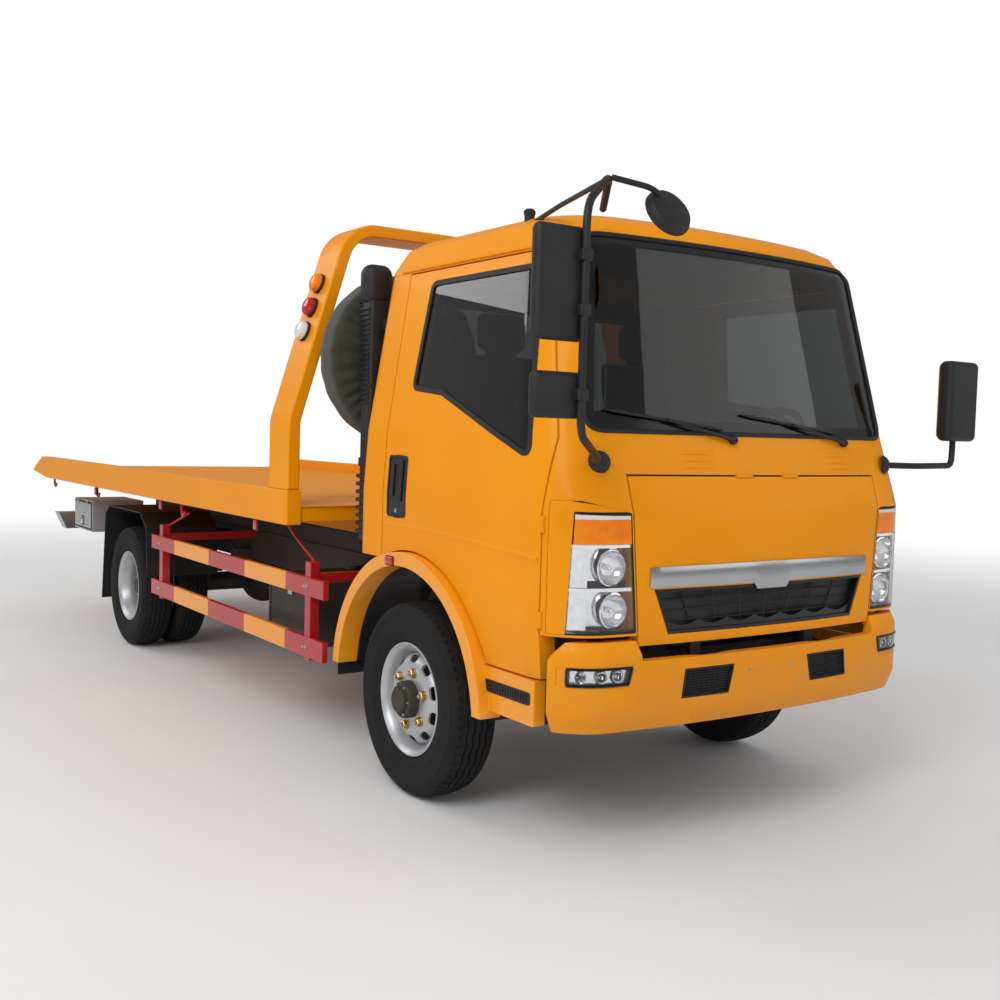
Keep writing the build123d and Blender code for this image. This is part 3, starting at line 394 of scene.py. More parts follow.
def added(tree, kind, inputs, out=0, **settings):
    """Adds a shader node and gives one of its outputs."""
    made = tree.nodes.new("ShaderNode" + kind)
    for key, value in settings.items():
        setattr(made, key, value)
    fill(tree, made, inputs)
    return made.outputs[out]


def started(name):
    """A new material, its nodes and the socket of the place on the object."""
    m = bpy.data.materials.new(name)
    m.use_nodes = True
    return m, m.node_tree, added(m.node_tree, "TexCoord", {}, "Object")


DUST = (0.22, 0.17, 0.12)


def dusted(tree, where, colour, low, high, most):
    """Road dust over a colour, thickest below the height low and gone by high (metres)."""
    height = added(tree, "SeparateXYZ", {"Vector": where}, "Z")
    fade = added(tree, "MapRange", {
        "Value": height, "From Min": low, "From Max": high, "To Min": most, "To Max": 0.0})
    cloud = added(tree, "TexNoise", {"Scale": 9, "Detail": 6, "Vector": where})
    amount = added(tree, "Math", {0: fade, 1: cloud}, operation="MULTIPLY")
    return added(tree, "MixRGB", {"Fac": amount, "Color1": colour, "Color2": (*DUST, 1)})


def finish_of(name, low, high, rough, metal=0.0, coat=0.0, scale=6.0, bump=0.0, grain=300.0, through=0.0,
              sheen=0.0, shine=0.5, dust=None):
    """Two near colours mixed by noise, a roughness range, a fine grain and, where given, dust."""
    m, tree, where = started(name)
    noise = added(tree, "TexNoise", {"Scale": scale, "Detail": 5, "Vector": where})
    colour = added(tree, "ValToRGB", {"Fac": noise})
    for stop, place, shade in zip(colour.node.color_ramp.elements, (0.25, 0.75), (low, high)):
        stop.position = place
        stop.color = (*shade, 1)
    if dust:
        colour = dusted(tree, where, colour, *dust)
    shader = tree.nodes["Principled BSDF"]
    fill(tree, shader, {
        "Base Color": colour,
        "Roughness": added(tree, "MapRange", {"Value": noise, "To Min": rough[0], "To Max": rough[1]}),
        "Metallic": metal,
        "Coat Weight": coat,
        "Coat Roughness": 0.08,
        "Transmission Weight": through,
        "IOR": 1.45,
        "Sheen Weight": sheen,
        "Specular IOR Level": shine,
    })
    if bump:
        fine = added(tree, "TexNoise", {"Scale": grain, "Detail": 3, "Vector": where})
        lift = added(tree, "Bump", {"Strength": bump, "Distance": 0.002, "Height": fine})
        fill(tree, shader, {"Normal": lift})
    return m


YELLOW = ((0.80, 0.275, 0.001), (0.85, 0.305, 0.002))
yellow = finish_of("paint_yellow", *YELLOW, (0.34, 0.46), coat=0.08, scale=2.2, bump=0.02, grain=700,
    shine=0.14, dust=(0.35, 0.9, 0.35))
red = finish_of("paint_red", (0.40, 0.006, 0.010), (0.47, 0.010, 0.014), (0.35, 0.5), coat=0.4, scale=4)
frame_black = finish_of("paint_black", (0.012, 0.012, 0.013), (0.022, 0.022, 0.024), (0.4, 0.6), scale=7,
    bump=0.05, dust=(0.2, 1.0, 0.5))
plastic = finish_of("plastic_black", (0.010, 0.010, 0.011), (0.018, 0.018, 0.019), (0.45, 0.6), scale=12,
    bump=0.16, grain=900)
gloss_black = finish_of("plastic_gloss", (0.006, 0.006, 0.007), (0.010, 0.010, 0.011), (0.12, 0.2), scale=5)
rubber = finish_of("rubber", (0.009, 0.009, 0.010), (0.017, 0.017, 0.017), (0.65, 0.85), scale=14,
    bump=0.1, grain=500, shine=0.18, dust=(-1.2, 1.6, 0.07))
seal = finish_of("rubber_seal", (0.010, 0.010, 0.010), (0.016, 0.016, 0.016), (0.5, 0.65), scale=30,
    bump=0.05, grain=900)
silver = finish_of("wheel_silver", (0.48, 0.49, 0.51), (0.57, 0.58, 0.60), (0.36, 0.5), metal=0.7, coat=0.2,
    scale=9, bump=0.03, grain=600)
chrome = finish_of("chrome", (0.80, 0.80, 0.81), (0.86, 0.86, 0.87), (0.05, 0.12), metal=1.0, scale=5)
bright = finish_of("bright_bar", (0.40, 0.41, 0.42), (0.50, 0.51, 0.52), (0.16, 0.28), metal=1.0, scale=3)
lining = finish_of("cab_lining", (0.10, 0.10, 0.105), (0.14, 0.14, 0.145), (0.7, 0.85), scale=30,
    bump=0.12, grain=500)
steel = finish_of("steel", (0.42, 0.42, 0.43), (0.55, 0.55, 0.56), (0.25, 0.45), metal=1.0, scale=14,
    bump=0.06, grain=400)
cast = finish_of("cast_iron", (0.035, 0.034, 0.033), (0.07, 0.067, 0.064), (0.55, 0.8), metal=0.6, scale=16,
    bump=0.25, grain=260, dust=(0.1, 1.0, 0.4))
brass = finish_of("zinc_yellow", (0.52, 0.34, 0.12), (0.66, 0.46, 0.18), (0.25, 0.4), metal=1.0, scale=60)
grey = finish_of("paint_grey", (0.30, 0.31, 0.32), (0.36, 0.37, 0.38), (0.35, 0.5), coat=0.2, scale=5,
    bump=0.04, dust=(0.4, 1.0, 0.4))
glass = finish_of("glass_tinted", (0.20, 0.22, 0.21), (0.24, 0.26, 0.25), (0.0, 0.02), through=1.0, scale=1.5)
clear = finish_of("lens_clear", (0.93, 0.94, 0.95), (0.97, 0.97, 0.98), (0.02, 0.05), through=1.0, scale=4)
RIBBED = {"through": 0.1, "scale": 20, "bump": 0.12, "grain": 220}
amber = finish_of("lens_amber", (0.90, 0.17, 0.002), (1.0, 0.30, 0.004), (0.1, 0.2), coat=0.2, shine=0.25,
    **RIBBED)
lens_red = finish_of("lens_red", (0.42, 0.004, 0.006), (0.52, 0.008, 0.010), (0.1, 0.2), coat=0.6, **RIBBED)
lens_white = finish_of("lens_white", (0.70, 0.71, 0.73), (0.82, 0.83, 0.84), (0.1, 0.2), coat=0.6, **RIBBED)
reflector = finish_of("reflector", (0.72, 0.73, 0.75), (0.88, 0.88, 0.90), (0.08, 0.2), metal=1.0, scale=40,
    bump=0.15, grain=120)
mirror_glass = finish_of("mirror_glass", (0.70, 0.72, 0.74), (0.76, 0.77, 0.79), (0.02, 0.05), metal=1.0,
    scale=3)
cloth = finish_of("cover_cloth", (0.020, 0.022, 0.014), (0.036, 0.038, 0.026), (0.75, 0.95), scale=10,
    bump=0.3, grain=700, sheen=0.25)
seat_cloth = finish_of("seat_cloth", (0.030, 0.030, 0.034), (0.060, 0.060, 0.066), (0.8, 0.95), scale=120,
    bump=0.35, grain=900, sheen=0.3)
rope = finish_of("wire_rope", (0.20, 0.20, 0.20), (0.32, 0.32, 0.32), (0.35, 0.55), metal=0.9, scale=90,
    bump=0.4, grain=500)


def by_place(name, low, high, marks, first, second, axis, absolute=False):
    """A material that changes between two colours where a coordinate passes the marks (metres)."""
    m, tree, where = started(name)
    value = added(tree, "SeparateXYZ", {"Vector": where}, axis)
    if absolute:
        value = added(tree, "Math", {0: value}, operation="ABSOLUTE")
    span = added(tree, "MapRange", {"Value": value, "From Min": low, "From Max": high})
    colour = added(tree, "ValToRGB", {"Fac": span})
    colour.node.color_ramp.interpolation = "CONSTANT"
    stops = colour.node.color_ramp.elements
    stops[0].position = 0
    stops[0].color = (*first, 1)
    stops[1].position = (marks[0] - low) / (high - low)
    stops[1].color = (*second, 1)
    for i, mark in enumerate(marks[1:]):
        stop = stops.new((mark - low) / (high - low))
        stop.color = (*(first if i % 2 == 0 else second), 1)
    grit = added(tree, "TexNoise", {"Scale": 40, "Vector": where})
    shine = added(tree, "MapRange", {"Value": grit, "To Min": 0.3, "To Max": 0.5})
    fill(tree, tree.nodes["Principled BSDF"], {"Base Color": colour, "Roughness": shine, "Coat Weight": 0.4})
    return m


guard_marks = [(x + AXLE_X) / 1000 for x in (-2584, -2032, -1526, -1028)]
stripes = by_place("guard_stripes", -0.8, 1.7, guard_marks, (0.42, 0.007, 0.011), YELLOW[1], "X")
two_tone = by_place("arch_paint", 0.5, 1.0, [0.862], (0.014, 0.014, 0.015), YELLOW[1], "Y", absolute=True)

PAINT_OF_SLOT = {
    "body_yellow": yellow, "guard_paint": stripes, "frame_black": frame_black, "arch_paint": two_tone,
    "glass": glass, "lamp_glass": clear, "lamp_plastic": amber, "black_plastic": plastic, "tyre": rubber,
    "wheel_silver": silver, "cast": cast, "steel": steel, "rod": chrome, "seat": seat_cloth,
    "cover": cloth, "grey_box": grey,
}
for sub in frame["record"]["subparts"]:
    painted = nodes[sub["node"]].data.materials
    painted.clear()
    painted.append(PAINT_OF_SLOT[sub["material_slot"]])

# Painted shade: the bumper's inner side and brackets, deeper than a set depth under its skin, are painted
# black so that the gap under the bumper looks shaded
bumper_mesh = nodes["bumper"].data
bumper_mesh.materials.append(frame_black)
for face in bumper_mesh.polygons:
    x, y, z = nodes["bumper"].matrix_world @ face.center * 1000
    x -= AXLE_X
    deep = min(nose_x(y, z, 0, BUMPER) - x, side_y(x, z, 0, BUMPER) - abs(y))
    # faces this deep are given the black paint as painted shade
    if deep > BUMPER_SHADE_DEPTH:
        face.material_index = 1

# Rounded edges on the panels and beams that are shown as they are
EDGES = {
    "gantry": 9, "bed_sides": 7, "bed_deck": 2, "bumper": 8, "wheel_arches": 6, "cab_roof": 4, "cab_back": 4,
    "cab_front": 4, "front_lid": 5, "door_right": 5, "door_left": 5, "side_guards": 3, "toolboxes": 5,
    "side_tanks": 4, "chassis_frame": 2, "underlift_bar": 5, "underlift_boom": 3, "underlift_stinger": 3,
    "air_intake": 6, "dashboard": 6, "rear_mudguards": 3, "winch_stand": 3, "spare_carrier": 3,
    "tilt_frame": 3, "driveline": 8,
}
for name, width in EDGES.items():
    weld = nodes[name].modifiers.new("weld", "WELD")
    weld.merge_threshold = 0.00003
    edge = nodes[name].modifiers.new("edges", "BEVEL")
    edge.width = width / 1000
    edge.segments = 3
    edge.limit_method = "ANGLE"
    edge.angle_limit = radians(35)
    edge.harden_normals = True


def wave(a):
    """A triangle wave from -1 to 1."""
    a = a % 1
    return 4 * a - 1 if a < 0.5 else 3 - 4 * a


# Tyres: half profile of radius and width up to the shoulder, then the tread
TYRE_SIDE = (
    (204, 62), (214, 70), (226, 72), (233, 84), (252, 91), (270, 96), (276, 98), (280, 98), (284, 98),
    (310, 100), (332, 99), (336, 100), (340, 100), (344, 97), (358, 93), (368, 88), (375, 80),
)
TYRE_R = 387.5
GROOVES = (-43, -15, 15, 43)
GROOVE_DEEP = 9
SHOULDER_Y = 73
TYRE_STEPS = 384


def tyre(piece, cx, cy):
    columns = []
    for g in GROOVES:
        columns += [(g - 4.5, 1, 0), (g - 2.6, 1, GROOVE_DEEP), (g + 2.6, 1, GROOVE_DEEP), (g + 4.5, 1, 0)]
    columns += [(-29, 1, 0), (0, 1, 0), (29, 1, 0)]
    columns += [(-SHOULDER_Y, 0, 0), (-62, 0, 0), (62, 0, 0), (SHOULDER_Y, 0, 0)]
    columns.sort()
    rows = []
    for k in range(TYRE_STEPS):
        a = 2 * pi * k / TYRE_STEPS
        shift = 4 * wave(k / 12)
        row = [(r, -y) for r, y in TYRE_SIDE]
        for y, share, deep in columns:
            yy = y + share * shift
            r = TYRE_R - 8.5 * (yy / 74) ** 2 - deep
            if abs(y) > 60 and k % 6 < 2:
                r -= 6
            row.append((r, yy))
        row += reversed(TYRE_SIDE)
        rows.append([(cx + r * cos(a), cy + y, HUB_Z + r * sin(a)) for r, y in row])
    piece.grid(rows, rubber, wrap=True, close=True)


# Wheels: the rim's section, and places of the holes, nuts and wheels
RIM_OUTSIDE = ((225, 82), (225, 75), (214, 70), (206, 62), (203, 50), (190, 32))
RIM_INSIDE = ((182, 28), (195, 48), (197, 62), (210, 76), (219, 84))
RIM = [*RIM_OUTSIDE]
RIM += [(r, -y) for r, y in reversed(RIM_OUTSIDE)]
RIM += [(r, -y) for r, y in reversed(RIM_INSIDE)]
RIM += RIM_INSIDE
HOLES_R = 160
NUTS_R = 111
FRONT_Y = 826
REAR_INNER_Y = 633
REAR_OUTER_Y = 863


def stadium(half, r, steps=8):
    out = []
    for end in (1, -1):
        for k in range(steps + 1):
            a = -end * pi / 2 + pi * k / steps
            out.append((end * half + r * cos(a), r * sin(a)))
    return out


def nut(piece, cx, cy, cz, s, r, h, paint, stud=0):
    ring = [(r * cos(pi / 3 * k), r * sin(pi / 3 * k)) for k in range(6)]
    low = [(cx + a, cy, cz + b) for a, b in ring]
    top = [(cx + a, cy + s * (h - 3), cz + b) for a, b in ring]
    cap = [(cx + a * 0.82, cy + s * h, cz + b * 0.82) for a, b in ring]
    piece.grid([low, top, cap], paint, wrap=True)
    piece.add(cap, [range(6)], paint)
    if stud:
        end = [(r * 0.5, 0), (r * 0.5, stud - 3), (r * 0.4, stud), (0.01, stud)]
        piece.turned(end, steel, about_y(cx, cy, cz, s), 14)


def wheel(piece, cx, cy, s, face, dish):
    """A steel wheel; face is the bolting face's height over the rim's middle, dish the sign of the bulge."""
    at = about_y(cx, cy, HUB_Z, s)
    piece.turned(RIM, silver, at, 96, closed=True)
    root = face * 0.32
    deep = face - root
    outer = [(186, root), (178, root + deep * 0.3), (168, root + deep * 0.62)]
    outer += [(150, face - dish * 5), (134, face), (62, face)]
    disc = Piece("disc")
    disc.turned(outer + [(r, h - 9) for r, h in reversed(outer)], silver, at, 96, closed=True)
    holes = Piece("holes")
    for k in range(10):
        a = 2 * pi * (k + 0.5) / 10
        ring = []
        for u, w in stadium(13, 14):
            r = HOLES_R + w
            ring.append((cx + r * cos(a) - u * sin(a), HUB_Z + r * sin(a) + u * cos(a)))
        holes.slab(ring, lambda x, z, h: (x, cy + h, z), -160, 160, silver)
    carved(disc, holes, piece, silver)


def nuts_round(piece, cx, cy, s, face):
    for k in range(6):
        a = 2 * pi * k / 6 + 0.3
        spot = (cx + NUTS_R * cos(a), cy + s * face, HUB_Z + NUTS_R * sin(a), s)
        nut(piece, *spot, 17, 20, brass, 28)
        piece.turned([(21, 0), (21, 4), (17, 5)], brass, about_y(*spot), 16)


def cap_screws(piece, cx, cy, s, count, ring_r, h):
    for k in range(count):
        a = 2 * pi * k / count
        nut(piece, cx + ring_r * cos(a), cy, HUB_Z + ring_r * sin(a), s, 6, h, steel)


FRONT_HUB = [(74, 40), (74, 100), (70, 112), (60, 116), (52, 117), (50, 128), (42, 134), (0.01, 134)]
REAR_HUB = [(74, -130), (74, -4), (70, 6), (56, 10), (54, 20), (46, 30), (0.01, 32)]
for s, name, letter in SIDES:
    piece = Piece("tyre_front_" + name + "_look")
    tyre(piece, 0, s * FRONT_Y)
    piece.make("wheel_f" + letter, "tyre", ("tyre_front_" + name,), smooth=28, fix=False)
    piece = Piece("wheel_front_" + name + "_look")
    wheel(piece, 0, s * FRONT_Y, s, 72, 1)
    nuts_round(piece, 0, s * FRONT_Y, s, 72)
    piece.turned(FRONT_HUB, cast, about_y(0, s * FRONT_Y, HUB_Z, s), 48)
    cap_screws(piece, 0, s * (FRONT_Y + 114), s, 6, 60, 7)
    piece.make("wheel_f" + letter, "wheel_silver", ("wheel_front_" + name,))
    piece = Piece("tyres_rear_" + name + "_look")
    tyre(piece, REAR_X, s * REAR_INNER_Y)
    tyre(piece, REAR_X, s * REAR_OUTER_Y)
    piece.make("wheels_r" + letter, "tyre", ("tyres_rear_" + name,), smooth=28, fix=False)
    piece = Piece("wheels_rear_" + name + "_look")
    wheel(piece, REAR_X, s * REAR_OUTER_Y, s, -72, -1)
    wheel(piece, REAR_X, s * REAR_INNER_Y, s, 60, 1)
    nuts_round(piece, REAR_X, s * REAR_OUTER_Y, s, -72)
    piece.turned(REAR_HUB, cast, about_y(REAR_X, s * REAR_OUTER_Y, HUB_Z, s), 48)
    cap_screws(piece, REAR_X, s * (REAR_OUTER_Y + 8), s, 8, 62, 8)
    piece.make("wheels_r" + letter, "wheel_silver", ("wheels_rear_" + name,))

# Glass surrounds
cab_skin = on_nose()
SCREEN = refined(rounded([(-775, 1468), (775, 1468), (684, 2150), (-684, 2150)], 60), 40)
SCREEN_FOOT = 1462
piece = Piece("screen_surround")
piece.band(shrunk(SCREEN, 1), shrunk(SCREEN, 34), on_nose(-5), -0.5, 0.8, gloss_black)
piece.tube([on_nose(-2)(y, z) for y, z in SCREEN], 9, seal, 8, loop=True)
piece.patch(cab_skin, (-770, 770), (SCREEN_FOOT + 2, SCREEN_FOOT + 46), -4, gloss_black, 40, 2)
piece.make("cab", "black_plastic")


def rear_x(z):
    """X of the cab's back at a height."""
    return -445 + (z - 1450) * 20 / 660


REAR_GLASS = refined(rect(-560, 560, 1560, 2000, 50), 60)
piece = Piece("rear_window_seal")
piece.tube([(rear_x(z) - 1, y, z) for y, z in REAR_GLASS], 9, seal, 8, loop=True)
piece.make("cab", "black_plastic")

WINDOW = refined(rounded([(-75, 1615), (150, 1592), (772, 1362), (668, 2040), (-45, 2040)], 40), 40)
HANDLE = refined(rect(-188, -42, 1104, 1350, 18), 20)
GRIP = refined(rect(-156, -70, 1168, 1336, 16), 20)
LOCK = (-115, 1130)
CREASE = ((-16, -0.3), (-6, 1.4), (0, 3.0), (4, 2.4), (12, -0.3))
for s, name, letter in SIDES:
    piece = Piece("door_trim_" + name)
    at = on_side(s)
    piece.band(shrunk(WINDOW, -4), shrunk(WINDOW, 16), at, -7, 1.5, seal)
    piece.band(HANDLE, shrunk(HANDLE, 9), at, -0.5, 4, plastic)
    piece.patch(at, (-184, -46), (1108, 1346), 2, gloss_black, 8, 14)
    piece.band(GRIP, shrunk(GRIP, 20), at, 1.5, 8, plastic)
    lock_at = about_y(LOCK[0], s * (side_y(*LOCK) + 1), LOCK[1], s)
    piece.turned([(9, 0), (9, 4), (7, 5), (0.01, 5)], steel, lock_at, 20)
    piece.make("door_" + letter, "black_plastic")
    piece = Piece("door_crease_" + name)
    rows = []
    for x in spread(-218, 834, 40):
        z = 1072 - 40 * ((x + 218) / 1052) ** 2
        rows.append([at(x, z + d, h) for d, h in CREASE])
    piece.grid(rows, yellow)
    piece.make("door_" + letter, "body_yellow")

# Wipers, cowl ribs and roof gutters
WIPER_Z = 1448
GUTTER_Z = 2103
piece = Piece("wipers")
for pivot_y, tip_y in ((-150, -700), (480, -90)):
    px = nose_x(pivot_y, WIPER_Z, 10)
    boss = [(16, -14), (16, 6), (12, 12), (0.01, 13)]
    piece.turned(boss, plastic, about_x(px, pivot_y, WIPER_Z), 20)
    mid_y = pivot_y + (tip_y - pivot_y) * 0.55
    run = list(zip(spread(pivot_y, mid_y, 8), spread(WIPER_Z, WIPER_Z + 64, 8)))
    arm = [(px + 6, pivot_y, WIPER_Z)] + [cab_skin(y, z, 16) for y, z in run[1:]]
    piece.tube(arm, [9, 8, 7, 6.5, 6, 5.5, 5, 5, 5], plastic, 8)
    root_y = tip_y + (pivot_y - tip_y) * 0.92
    blade = list(zip(spread(tip_y, root_y, 12), spread(1540, 1482, 12)))
    piece.tube([cab_skin(y, z, 6) for y, z in blade], [3] + [5.5] * 11 + [3], plastic, 8)
    piece.tube([cab_skin(y, z, -1) for y, z in blade], 3, seal, 6)
piece.make("cab", "black_plastic")
COWL_RIB = ((-8, 0), (-4, 3.2), (0, 4.4), (4, 3.2), (8, 0))
piece = Piece("cowl_ribs")
for y0, y1 in ((-425, -240), (325, 510)):
    for z in (1352, 1376, 1400):
        rows = []
        for k, y in enumerate(spread(y0, y1, 12)):
            swell = min(1, 4 * min(k, 12 - k) / 12)
            rows.append([cab_skin(y, z + d, -0.3 + h * swell) for d, h in COWL_RIB])
        piece.grid(rows, yellow)
piece.make("cab", "body_yellow")
piece = Piece("roof_gutters")
for s in (-1, 1):
    at = on_side(s)
    piece.tube([at(x, GUTTER_Z, 3) for x in spread(-300, 660, 24)], 6, yellow, 8)
piece.make("cab", "body_yellow")

# Headlamps
LID_LEAN = 40 / 480
LAMP_FOOT = 796
LAMP_ROOF = 1195
LENS_TOP = 1090


def lamp_in(z):
    return 600 + LID_LEAN * (min(z, 1225) - 745) + 10


def lamp_out(z):
    return 856 - (z - 803) * 14 / 426


def lamp_at(s):
    """Maps 0 to 1 across the lamp and a height to a point; more is height over the skin."""
    def at(u, z, more=0):
        inner = lamp_in(z)
        y = inner + (lamp_out(z) - inner) * u
        return (nose_x(y, z, more), s * y, z)
    return at


def corner_strip(piece, s, heights, lamp_edge, edge_off, side_x, steps, table):
    """Yellow skin from a lamp's outer edge round the corner to a place on the side."""
    rows = []
    for z in heights:
        start = lamp_edge(z)
        edge = side_y(side_x, z, 0, table) - 0.6
        row = [(nose_x(start, z, edge_off, table), s * start, z)]
        for k in range(steps + 1):
            y = start + (edge - start) * (1 - (1 - k / steps) ** 1.8)
            row.append((nose_x(y, z, -0.6, table) if k < steps else side_x, s * y, z))
        rows.append(row)
    piece.grid(rows, yellow)


WIDE = (0.02, 0.98)
for s, name, letter in SIDES:
    at = lamp_at(s)
    piece = Piece("headlamp_" + name)
    piece.patch(at, (0, 1), (LAMP_FOOT - 2, LAMP_ROOF), -46, reflector)
    piece.patch(at, WIDE, (LENS_TOP + 2, LAMP_ROOF - 20), -1, amber)
    piece.patch(at, WIDE, (LAMP_ROOF - 20, LAMP_ROOF - 4), -1.2, lens_white)
    piece.patch(at, WIDE, (1080, 1091), -6, chrome, 16, 3)
    piece.patch(at, WIDE, (934, 946), -7, chrome, 16, 3)
    piece.patch(at, (0.74, 0.98), (800, 1080), -12, reflector, 6, 14)
    for z, r in ((1013, 58), (868, 56)):
        y = lamp_in(z) + 78
        bowl_at = about_x(nose_x(y, z, -14), s * y, z)
        bowl = [(r, 0), (r * 0.96, -8), (r * 0.78, -26), (r * 0.45, -40), (0.01, -46)]
        piece.turned(bowl, reflector, bowl_at, 40)
        piece.turned([(r + 5, -4), (r + 5, 1), (r, 3), (r - 1, -2)], chrome, bowl_at, 40, closed=True)
        piece.turned([(10, -44), (10, -14), (8, -8), (0.01, -6)], chrome, bowl_at, 16)
    for u in (0.0, 1.0):
        piece.tube([at(u, z, -6) for z in spread(LAMP_FOOT, LAMP_ROOF - 6, 12)], 7, gloss_black, 8)
    for z in (LAMP_FOOT + 1, LAMP_ROOF - 4):
        piece.tube([at(u, z, -6) for u in spread(0, 1, 16)], 7, gloss_black, 8)
    piece.make("cab", "lamp_glass", ("headlamps",) if s < 0 else ())
    piece = Piece("headlamp_lens_" + name)
    sheets = []
    for off in (-0.5, -3.5):
        sheet = [[at(u, z, off) for u in spread(0, 1, 20)] for z in spread(LAMP_FOOT, LENS_TOP, 12)]
        piece.grid(sheet, clear)
        sheets.append(sheet)
    for end in (0, -1):
        piece.grid([[row[end] for row in sheet] for sheet in sheets], clear)
        piece.grid([sheet[end] for sheet in sheets], clear)
    piece.make("cab", "lamp_glass")
    brow = Piece("lamp_brow_" + name)
    rows = []
    for u in spread(0, 1, 14):
        top = 1199 + 34 * u ** 0.8
        fold = ((1197, -7), (1200, -1), ((1200 + top) / 2, -0.6), (top, -1.2))
        rows.append([at(u, z, off) for z, off in fold])
    brow.grid(rows, yellow)
    corner_strip(brow, s, spread(791, 1234, 14), lamp_out, -8, 872, 8, CAB)
    brow.make("cab", "body_yellow")

# Grille and bright bar on the lid
GRILLE = refined(rounded([(-478, 780), (478, 780), (543, 933), (-543, 933)], 14), 60)
BAR_HALF = 565
piece = Piece("grille_look")
piece.slab(GRILLE, on_nose(-34), 0, 3, plastic)
piece.band(GRILLE, shrunk(GRILLE, 9), on_nose(-30), 0, 27, gloss_black)


def half_at(z):
    """Half width of the grille at a height."""
    return 470 + (z - 780) * 65 / 153


rib_at = on_nose(-31)
for share in spread(-1, 1, 8)[1:-1]:
    piece.tube([rib_at(share * half_at(z), z) for z in (784, 856, 929)], 3, plastic, 6)
for z in (819, 856, 893):
    piece.tube([rib_at(y, z) for y in spread(-half_at(z), half_at(z), 20)], 3, plastic, 6)
trim_at = on_nose(-12)
wavy = [(y, 822 - 17 * abs(sin(pi * k / 12))) for k, y in enumerate(spread(-474, 474, 84))]
rows = [[trim_at(y, 781) for y, z in wavy]]
rows += [[trim_at(y, z, d) for y, z in wavy] for d in (0, -7)]
piece.grid(rows, gloss_black)
bar_rows = []
for y in spread(-BAR_HALF, BAR_HALF, 60):
    notch = 24 if abs(y) < 80 else 0
    low = 941 - notch
    high = 1011 + 4 * (1 - (y / BAR_HALF) ** 2)
    taper = min(1, (BAR_HALF - abs(y)) / 16 + 0.25)
    row = [cab_skin(y, low, -2)]
    for t in spread(0, 1, 10):
        bulge = 11 * taper * sqrt(max(0, sin(pi * (0.08 + 0.84 * t))))
        row.append(cab_skin(y, low + (high - low) * t, 1 + bulge))
    row.append(cab_skin(y, high, -2))
    bar_rows.append(row)
piece.grid(bar_rows, bright)
piece.make("lid", "black_plastic", ("grille",))

# Bumper: vents, fog lamps, plate fixings
VENT_TOP = 656
VENT_FOOT = 558
bumper_skin = on_nose(0, BUMPER)
piece = Piece("bumper_vents")
for s in (-1, 1):
    vent = [(s * 192, VENT_TOP), (s * 416, VENT_TOP), (s * 430, VENT_FOOT), (s * 216, VENT_FOOT)]
    edge = refined(rounded(vent, 10), 40)
    piece.slab(shrunk(edge, 1), bumper_skin, -15, -13, plastic)
    piece.band(edge, shrunk(edge, 5), bumper_skin, -14, 0.5, plastic)
    for k in range(10):
        z = 566 + 9.4 * k
        low = 218 - (z - VENT_FOOT) * 0.25
        high = 430 - (z - VENT_FOOT) * 0.143
        piece.tube([bumper_skin(s * y, z, -8) for y in spread(low, high, 6)], 2.4, plastic, 6)
    for k in range(9):
        bar = [(226 + 22.5 * k + (VENT_TOP - z) * 0.16, z) for z in (562, 608, 652)]
        piece.tube([bumper_skin(s * y, z, -10) for y, z in bar], 2.0, plastic, 6)
for y in (-110, 110):
    fixing = [(7, -3), (7, 1.5), (5, 2.5), (0.01, 2.5)]
    piece.turned(fixing, steel, about_x(*bumper_skin(y, 628)), 16)
piece.make("chassis", "black_plastic")

FOG_OUT = 858
FOG_Z = 652


def fog_at(s):
    """Maps 0 to 1 across and up the fog lamp to a point; more is height over the skin."""
    def at(u, v, more=0):
        inner = 657 - 14 * v
        return bumper_skin(s * (inner + (FOG_OUT - inner) * u), 624 + 56 * v, more)
    return at


FULL = (0, 1)
piece = Piece("chassis_lamps_look")
for s in (-1, 1):
    at = fog_at(s)
    rim = refined([(0, 0), (1, 0), (1, 1), (0, 1)], 0.1)
    piece.tube([at(u, v) for u, v in rim], 5, gloss_black, 8, loop=True)
    piece.patch(at, FULL, FULL, -26, reflector, 12, 6)
    corner_strip(piece, s, spread(621, 683, 6), lambda z: FOG_OUT, -9, 917, 6, BUMPER)
    for off in (-1, -4):
        piece.patch(at, FULL, FULL, off, clear, 12, 6)
    for y, r in ((696, 24), (756, 24), (816, 22)):
        bowl_at = about_x(nose_x(y, FOG_Z, -9, BUMPER), s * y, FOG_Z)
        piece.turned([(r, 0), (r * 0.9, -6), (r * 0.5, -15), (0.01, -17)], reflector, bowl_at, 28)
        piece.turned([(5, -15), (5, -5), (0.01, -3)], chrome, bowl_at, 12)
    piece.pad(-5031, -5020.5, s * 900, s * 620, 705, 815, 5, plastic)
    for y0, y1, paint in ((628, 712, lens_red), (716, 802, amber), (806, 892, lens_white)):
        piece.pad(-5042, -5029, s * y0, s * y1, 713, 807, 5, paint)
piece.make("chassis", "lamp_plastic", ("chassis_lamps",))

# Mirrors
MIRROR_X = 1236
MIRROR_Y = 1225
# Arms: points, radius of the bends, radius of the bar, sides
ARMS = (
    ([(880, -742, 1362), (1010, -800, 1370), (1221, -1052, 1452), (1221, -1052, 2130), (1075, -850, 2262),
      (815, -660, 2222)], 70, 12.5, 14),
    ([(1100, -900, 2230), (700, -760, 2235), (430, -690, 2214)], 60, 8.5, 10),
    ([(1085, -850, 2255), (1140, -720, 2230), (1150, -665, 2180)], 40, 9.5, 10),
    ([(880, 742, 1362), (1000, 880, 1362), (1010, 1100, 1366), (1010, 1105, 1420), (1010, 1105, 1780)],
     50, 12.5, 14),
)
